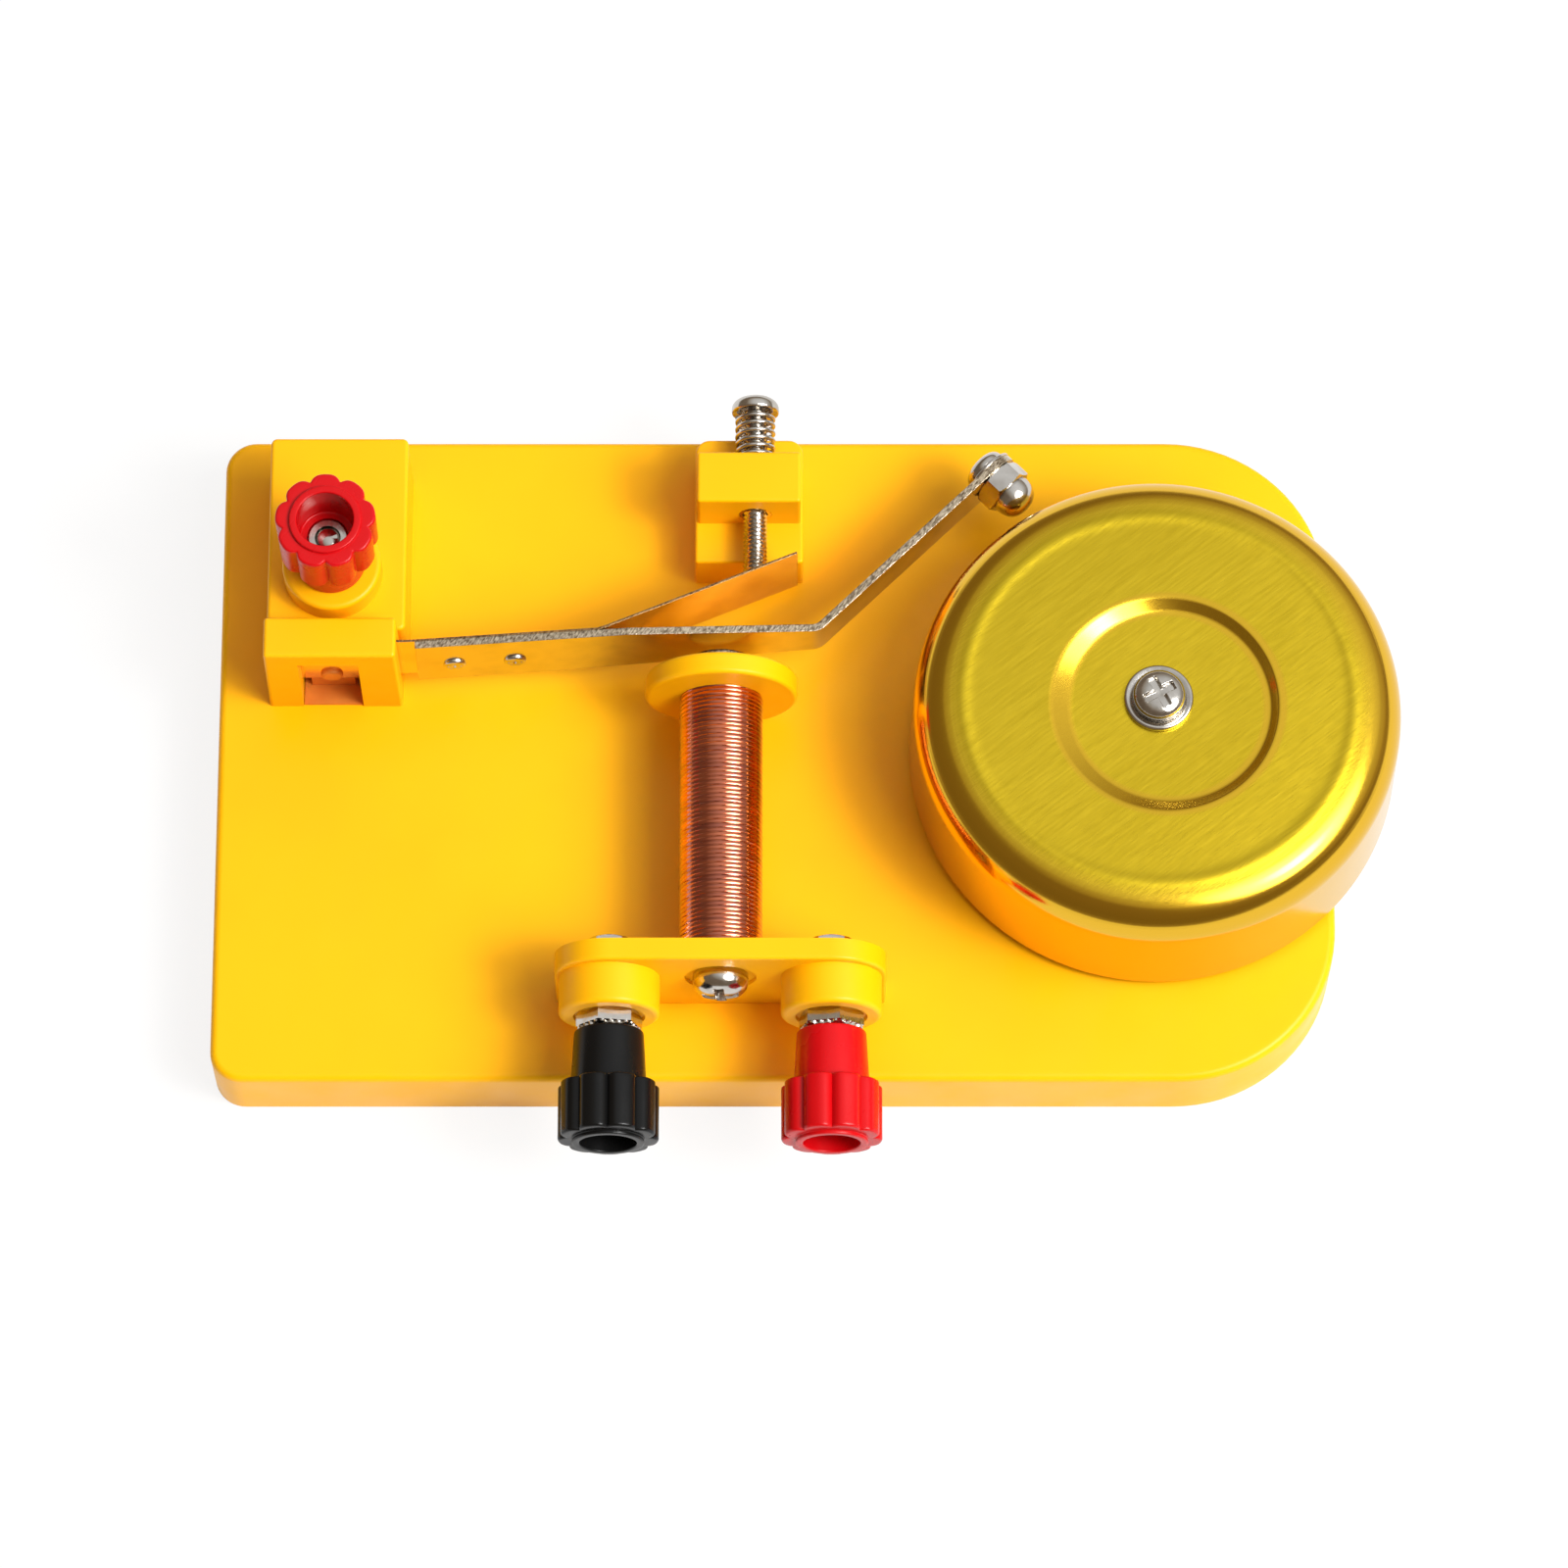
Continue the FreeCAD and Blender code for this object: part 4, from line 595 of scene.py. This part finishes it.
def springShell(sizes, length):
    # centre line: R cos a, R sin a, height, rising by one wire a turn where the ends are closed and by an
    # even pitch between them; the wire is a circle across that line
    turns = 2 * sizes["closed"] + sizes["open"]
    t = np.linspace(0, turns, int(turns * sizes["points"]))
    middle, lead = turns / 2, sizes["lead"]
    lean = fade((sizes["open"] / 2 + lead / 2 - np.abs(t - middle)) / lead)
    rise = (length - sizes["wire"] - 2 * sizes["closed"] * sizes["wire"]) / sizes["open"] - sizes["wire"]
    pitch = sizes["wire"] + lean * rise
    height = np.concatenate([[0], np.cumsum((pitch[1:] + pitch[:-1]) / 2 * np.diff(t))])
    height = sizes["wire"] / 2 + height / height[-1] * (length - sizes["wire"])
    radius = (sizes["outer"] - sizes["wire"]) / 2
    out = np.stack([np.cos(t * fullTurn), np.sin(t * fullTurn), 0 * t], -1)
    centre = out * radius + np.stack([0 * t, 0 * t, height], -1)
    forward = np.gradient(centre, axis=0)
    forward /= np.linalg.norm(forward, axis=1)[:, None]
    binormal = np.cross(forward, out)
    angle = angles(sizes["round"])[None, :, None]
    circle = np.cos(angle) * out[:, None] + np.sin(angle) * binormal[:, None]
    rings = centre[:, None] + sizes["wire"] / 2 * circle
    return skin(rings, centre[0], centre[-1])


low, high = nodeBox("contact_spring")
springPiece = makePiece("contactSpringPiece", [
    stand(springShell(springSizes, high[1] - low[1]), (contactAxis[0], low[1], contactAxis[1]), (0, 1, 0))],
    "nickel_steel", ["contact_spring"], sharp=70)
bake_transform(springPiece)

# coil winding: one layer of round wire, turn beside turn
coilSizes = {"outer": 6.7, "inner": 4.95, "turns": 60, "bead": 0.14, "waver": 0.03, "roundness": 0.96,
             "columns": 84, "perTurn": 12}


def coilShell(sizes, length):
    # outside: r = R - bead * (1 - sqrt(1 - roundness u^2)), u from -1 to 1 across one wire, shifted by the
    # angle so that the beads climb one pitch each time round; each turn sits a hair higher or lower
    pitch = length / sizes["turns"]
    angle = angles(sizes["columns"])
    along = np.linspace(0, length, sizes["turns"] * sizes["perTurn"] + 1)[:, None]
    count = along / pitch - angle / fullTurn
    u = (count % 1) * 2 - 1
    order = np.floor(count)
    lift = sizes["waver"] * np.sin(order * 2.4) * np.sin(order * 0.73 + 1)
    r = sizes["outer"] - sizes["waver"] + lift - sizes["bead"] * (1 - np.sqrt(1 - sizes["roundness"] * u * u))
    outside = around(r, along, angle)
    inside = spun(np.array([(sizes["inner"], length), (sizes["inner"], 0)]), sizes["columns"])
    return skin(np.concatenate([outside, inside]), loop=True)


low, high = nodeBox("coil_winding")
coilAxis = ((low[0] + high[0]) / 2, (low[2] + high[2]) / 2)
makePiece("windingPiece", [stand(coilShell(coilSizes, high[1] - low[1]), (coilAxis[0], low[1], coilAxis[1]),
                                 (0, 1, 0))], "copper_wire", ["coil_winding"], "base", 70)

# caps: a neck, nine soft flutes, an end ring and a socket
capSizes = {
    "foot": 5.5, "neck": 6.0, "neckTop": 8.8, "outer": 8.0, "fluteTop": 17.7, "ring": 5.7, "top": 18.3,
    "socket": 4.5, "socketFloor": 10.4, "bore": 3.3, "flutes": 9, "fluteDepth": 1.05, "columns": 216,
    "soft": 0.35, "shoulder": 1.2, "ringFoot": 0.12, "lip": 0.22, "sharpness": 1.8, "step": 0.8,
}


def capShell(sizes, turned):
    # r = section radius - share * depth * (1 - |sin(flutes / 2 * (a - turned))|)^sharpness, the share being
    # 1 on the fluted outside and 0 elsewhere
    soft, outer, ring, lip = sizes["soft"], sizes["outer"], sizes["ring"], sizes["lip"]
    bore, socket, ringFoot = sizes["bore"], sizes["socket"], sizes["ringFoot"]
    inset = outer - sizes["shoulder"]
    neckTop, fluteTop, top, floorRise = (sizes[key] for key in ("neckTop", "fluteTop", "top", "socketFloor"))
    plain = rounded([(bore, 0), (sizes["foot"], 0), (sizes["neck"], neckTop)], [0, 0.4, 0], 4)
    fluted = rounded([(inset, neckTop), (outer, neckTop), (outer, fluteTop), (inset, fluteTop + 0.02)],
                     [0, soft, soft * 1.3, 0], 6)
    ending = rounded([(ring + ringFoot, fluteTop), (ring, fluteTop + ringFoot), (ring, top), (socket, top),
                      (socket, floorRise), (bore, floorRise)], [0, 0, lip, lip, 0.3, 0], 4)
    stretches = [filled(stretch, sizes["step"]) for stretch in (plain, fluted, ending)]
    section = np.vstack(stretches)
    share = np.concatenate([np.full(len(stretch), part) for stretch, part in zip(stretches, (0, 1, 0))])
    angle = angles(sizes["columns"])
    groove = (1 - np.abs(np.sin(sizes["flutes"] / 2 * (angle - turned)))) ** sizes["sharpness"]
    r = section[:, 0, None] - share[:, None] * sizes["fluteDepth"] * groove
    return skin(around(r, section[:, 1, None], angle), loop=True)


frontTurn, sideTurn = math.radians(10), math.radians(31)
terminalX = {}
for side, slotName in (("black", "black_plastic"), ("red", "red_plastic")):
    low, high = nodeBox("cap_" + side)
    terminalX[side] = (low[0] + high[0]) / 2
    makePiece(side + "CapPiece", [
        stand(capShell(capSizes, frontTurn), (terminalX[side], high[1], (low[2] + high[2]) / 2), (0, -1, 0))],
        slotName, ["cap_" + side], side + "_knob", 32)
low, high = nodeBox("cap_side")
sideAxis = ((low[0] + high[0]) / 2, (low[1] + high[1]) / 2)
makePiece("sideCapPiece", [stand(capShell(capSizes, sideTurn), (*sideAxis, low[2]), (0, 0, 1))],
          "red_plastic", ["cap_side"], "side_knob", 32)


# studs: threaded rods
def studShell(length, radius=2.0, thread=0.42, pitch=0.7, bevel=0.45, columns=48):
    # r = radius - thread * |2 fraction(z / pitch - a / fullTurn) - 1|, cut down to a cone at both ends
    angle = angles(columns)
    along = np.linspace(0, length, int(length / pitch * 9))[:, None]
    r = radius - thread * np.abs(2 * ((along / pitch - angle / fullTurn) % 1) - 1)
    r = np.minimum(r, radius - bevel + np.minimum(along, length - along))
    return skin(around(r, along, angle), (0, 0, 0), (0, 0, length))


low, high = nodeBox("front_studs")
axisRise = (low[2] + high[2]) / 2
makePiece("frontStudPieces", [
    stand(studShell(high[1] - low[1]), (terminalX[side], high[1], axisRise), (0, -1, 0))
    for side in ("black", "red")], "nickel_steel", ["front_studs"], "base", 50)
low, high = nodeBox("side_stud")
makePiece("sideStudPiece", [stand(studShell(high[2] - low[2]), (*sideAxis, low[2]), (0, 0, 1))],
          "nickel_steel", ["side_stud"], "base", 50)


# nuts: a hexagon cut by two cones
chamferSteps = np.array([0, 0.08, 0.16, 0.26, 0.38, 0.5, 0.62])  # rows near an end
nutForm = {"coneSlope": 1.73, "endInset": 0.05, "boreBevel": 0.35,
           "toothReach": 0.6, "toothRun": 0.15, "toothDepth": 0.09}


def nutRows(flats, thick, levels, angle):
    # r = the lesser of the hexagon, flats / 2 / cos(angle from the middle of a side), and the cone,
    # flats / 2 - inset + slope * distance from the nearer end
    hexagon = flats / 2 / np.cos(angle % (np.pi / 3) - np.pi / 6)
    cone = flats / 2 - nutForm["endInset"] + nutForm["coneSlope"] * np.minimum(levels, thick - levels)
    return around(np.minimum(hexagon, cone), levels, angle)


def nutShell(flats, thick, turned=0.0, teeth=0, bore=2.1, columns=240):
    # a toothed nut also has notches in its outer end: r falls by the share depth * (0.5 + 0.5 cos(teeth * a))
    angle, bevel = angles(columns), nutForm["boreBevel"]
    levels = np.concatenate([chamferSteps, [thick / 2], thick - chamferSteps[::-1]])[:, None]
    foot = spun(np.array([(bore, bevel), (bore + bevel, 0)]), columns)
    crown = spun(np.array([(bore + bevel, thick), (bore, thick - bevel)]), columns)
    rows = nutRows(flats, thick, levels, angle)
    if teeth:
        outward = fade((levels - thick + nutForm["toothReach"]) / nutForm["toothRun"])
        notch = (0.5 + 0.5 * np.cos(teeth * angle)) * outward
        rows[..., :2] *= (1 - nutForm["toothDepth"] * notch)[..., None]
    turning = np.array([[np.cos(turned), np.sin(turned), 0],
                        [-np.sin(turned), np.cos(turned), 0], [0, 0, 1]])
    return skin(np.concatenate([foot, rows, crown]) @ turning, loop=True)


# the piece's name, flats, the way the nuts face, how they are turned on the black and the red stud, teeth
nutSizes = {
    "front_nuts": ("frontNutPieces", 9.2, -1, (-12, 16), 24),
    "rear_nuts": ("rearNutPieces", 7, 1, (0, 0), 0),
}
for node, (name, flats, facing, turns, teeth) in nutSizes.items():
    low, high = nodeBox(node)
    foot = high[1] if facing < 0 else low[1]
    makePiece(name, [stand(nutShell(flats, high[1] - low[1], math.radians(turned), teeth),
                           (terminalX[side], foot, axisRise), (0, facing, 0))
                     for side, turned in zip(("black", "red"), turns)], "nickel_steel", [node], "base", 20)

# armature's places: plan points and directions worked out from its bends
armatureSizes = {"hinge": (-58.8, 11.9), "tilt": 4, "reach": 66, "armAngle": 40.4, "hammerReach": 39.6,
                 "iron": 1.2, "leaf": 0.4, "axis": 27, "rivets": (7.4, 17.1)}


def planDirection(degrees):
    return np.array([math.cos(math.radians(degrees)), math.sin(math.radians(degrees)), 0])


hinge = np.array([*armatureSizes["hinge"], armatureSizes["axis"]])
strip = planDirection(armatureSizes["tilt"])
stripLeft = planDirection(armatureSizes["tilt"] + 90)
armHeading = armatureSizes["tilt"] + armatureSizes["armAngle"]
toGong = planDirection(armHeading - 90)
ironOffset = (armatureSizes["iron"] + armatureSizes["leaf"]) / 2
hammerCentre = (hinge + strip * armatureSizes["reach"] - stripLeft * ironOffset
                + planDirection(armHeading) * armatureSizes["hammerReach"])
ironHalf = armatureSizes["iron"] / 2

# acorn nut, washer and screw of the hammer
acornSizes = {"flats": 7.7, "hex": 3.4, "dome": 3.5, "length": 7.1, "neck": 3.15, "bore": 1.55,
              "boreDepth": 4.2, "collar": 0.3, "sidePower": 0.8, "risePower": 0.9,
              "lowerRows": [1.7, 2.9, 3.1, 3.25, 3.4]}


def acornShell(sizes, columns=120):
    # dome: D sin(b)^side power, start + (length - start) cos(b)^rise power; below it a neck, a hexagon and
    # a blind bore
    angle = angles(columns)
    bend = np.linspace(0, np.pi / 2, 19)[1:, None]
    start = sizes["hex"] + sizes["collar"]
    dome = np.hstack([sizes["dome"] * np.sin(bend) ** sizes["sidePower"],
                      start + (sizes["length"] - start) * np.cos(bend) ** sizes["risePower"]])
    neck = rounded([(sizes["dome"], start), (sizes["neck"], sizes["hex"] + 0.12),
                    (sizes["flats"] / 2 - 0.3, sizes["hex"])], [0, 0.1, 0], 3)[1:]
    levels = sizes["hex"] - np.concatenate([chamferSteps, sizes["lowerRows"]])[:, None]
    hexagon = nutRows(sizes["flats"], sizes["hex"], levels, angle)
    bore = spun(np.array([(sizes["bore"] + 0.3, 0), (sizes["bore"], 0.3),
                          (sizes["bore"], sizes["boreDepth"])]), columns)
    return skin(np.concatenate([spun(dome, columns), spun(neck, columns), hexagon, bore]),
                (0, 0, sizes["length"]), (0, 0, sizes["boreDepth"]))


makePiece("acornNutPiece", [
    stand(acornShell(acornSizes), hammerCentre + toGong * ironHalf, toGong, planDirection(armHeading))],
    "nickel_steel", ["hammer_nut"], "swing", 24)
makePiece("hammerWasherPiece", [
    stand(washerShell(washerSizes["hammer_washer"]), hammerCentre - toGong * ironHalf, -toGong, (0, 0, 1))],
    "nickel_steel", ["hammer_washer"], "swing")
hammerScrew = {**machineScrew, "head": 7.0, "height": 2.2, "shank": 3.0, "length": 5.5, "pitch": 0.5,
               "thread": 0.22, "tip": 1.1, "columns": 120, "turned": math.radians(20)}
makePiece("hammerScrewPiece", [
    stand(screwShell(hammerScrew), hammerCentre - toGong * (ironHalf + washerSizes["hammer_washer"]["thick"]),
          -toGong, (0, 0, 1))], "nickel_steel", ["hammer_screw"], "swing", 50)

# rivets: a pressed head with a dimple and crimp marks on each side
rivetSizes = {"head": 1.8, "rise": 0.7, "shank": 1.0, "rimShare": 0.1, "dimple": 0.6, "dimpleDepth": 0.75,
              "crimps": 5, "crimpRadius": 1.05, "crimpWidth": 0.3, "crimpDepth": 0.22}


def rivetShell(sizes, grip, columns=90):
    # head: rise * sqrt(1 - (q / R)^4) less a dimple, exp(-(q / dimple)^2), and crimps, 1 + cos(crimps * a),
    # which stand in a ring, exp(-((q - crimp radius) / width)^2)
    angle = angles(columns)
    t = np.linspace(0, 1, 19)[1:, None]
    q = sizes["head"] * (1 - (1 - t) ** 1.4)
    ring = np.exp(-((q - sizes["crimpRadius"]) / sizes["crimpWidth"]) ** 2)
    crimp = sizes["crimpDepth"] * (1 + np.cos(sizes["crimps"] * angle) * ring) * ring
    dimple = sizes["dimpleDepth"] * np.exp(-(q / sizes["dimple"]) ** 2)
    dome = sizes["rimShare"] + (1 - sizes["rimShare"]) * np.sqrt(1 - (q / sizes["head"]) ** 4)
    top = sizes["rise"] * dome * (1 - dimple - crimp)
    upper = around(q, grip / 2 + top, angle)
    lower = (upper * (1, 1, -1))[::-1]
    shank = spun(np.array([(sizes["head"], grip / 2), (sizes["shank"], grip / 2), (sizes["shank"], -grip / 2),
                           (sizes["head"], -grip / 2)]), columns)
    peak = grip / 2 + sizes["rise"] * (1 - sizes["dimpleDepth"])
    return skin(np.concatenate([upper, shank, lower]), (0, 0, peak), (0, 0, -peak))


makePiece("armatureRivetPieces", [
    stand(rivetShell(rivetSizes, 2 * ironOffset), hinge + strip * along - stripLeft * ironHalf,
          -stripLeft, (0, 0, 1))
    for along in armatureSizes["rivets"]], "nickel_steel", ["armature_rivets"], "swing", 60)

# leaf spring: one strip from inside the bridge to the contact
leafSizes = {"root": 20.4, "split": 31, "bend": 18.5, "branch": 34.1, "thick": 0.4, "soft": 2.0,
             "top": 7.8, "foot": -6.2, "rootFoot": -8.2, "edge": 0.06,
             "hingeRound": 6, "spacing": 0.9, "exitInset": 0.45, "stepHalf": 0.02, "bendReach": 1.2}


def leafShell(sizes):
    # a section of eight points carried along a bent path in plan: every point is the path's point plus its
    # sideways offset along the path's left, at its own height
    bridgeExit = nodeBox("clamp_bridge")[1][0] - sizes["exitInset"]
    toRoot, onward = np.array([-1.0, 0, 0]), planDirection(armatureSizes["tilt"] + sizes["bend"])
    corners = [hinge + toRoot * sizes["root"], hinge, hinge + strip * sizes["split"],
               hinge + strip * sizes["split"] + onward * sizes["branch"]]
    path = filled(rounded([point[:2] for point in corners], [0, sizes["hingeRound"], sizes["soft"], 0], 10),
                  sizes["spacing"])
    # the outline steps up where the strip leaves the bridge
    step = np.array([-sizes["stepHalf"], sizes["stepHalf"]]) + bridgeExit
    extra = np.stack([step, np.interp(step, path[:, 0], path[:, 1])], -1)
    path = np.vstack([path, extra])
    path = path[np.argsort(path[:, 0])]
    run = np.gradient(path, axis=0)
    left = np.stack([-run[:, 1], run[:, 0]], -1) / np.linalg.norm(run, axis=1)[:, None]
    foot = np.where(path[:, 0] < bridgeExit, sizes["rootFoot"], sizes["foot"])
    half, edge = sizes["thick"] / 2, sizes["edge"]
    # eight points round the section: sideways offset, share of the height, bevel along the height
    side = np.array([-half + edge, half - edge, half, half, half - edge, -half + edge, -half, -half])
    upper = np.array([0, 0, 0, 1, 1, 1, 1, 0])
    bevel = np.array([0, 0, edge, -edge, 0, 0, -edge, edge])
    height = foot[:, None] + (sizes["top"] - foot[:, None]) * upper + bevel
    plan = path[:, None] + left[:, None] * side[None, :, None]
    rings = np.concatenate([plan, (armatureSizes["axis"] + height)[..., None]], -1)
    return skin(rings, rings[0].mean(0), rings[-1].mean(0))


leafPiece = makePiece("leafSpringPiece", [leafShell(leafSizes)], "spring_bronze",
                      ["leaf_root", "contact_leaf"], sharp=30)
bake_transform(leafPiece)
print("pieces made")

# floor
floorMesh = bpy.data.meshes.new("paleFloor")
reach = studio["floorReach"]
floorMesh.from_pydata([(-reach, -reach, 0), (reach, -reach, 0), (reach, reach, 0), (-reach, reach, 0)],
                      [], [(0, 1, 2, 3)])
floor = bpy.data.objects.new("paleFloor", floorMesh)
scene.collection.objects.link(floor)
floorStuff, tree, shader = newMaterial("paleFloor")
shader.inputs["Base Color"].default_value = colour(*studio["floorColour"])
shader.inputs["Roughness"].default_value = studio["floorRoughness"]
shader.inputs["Specular IOR Level"].default_value = studio["floorGloss"]
path = tree.nodes.new("ShaderNodeLightPath")
seen = compute(tree, "MAXIMUM", path.outputs["Is Camera Ray"], path.outputs["Is Glossy Ray"])
glow = tree.nodes.new("ShaderNodeEmission")
blendIn = tree.nodes.new("ShaderNodeMixShader")
tree.links.new(compute(tree, "MULTIPLY", seen, studio["floorGlow"]), blendIn.inputs["Fac"])
tree.links.new(shader.outputs[0], blendIn.inputs[1])
tree.links.new(glow.outputs[0], blendIn.inputs[2])
tree.links.new(blendIn.outputs[0], tree.nodes["Material Output"].inputs["Surface"])
floorMesh.materials.append(floorStuff)
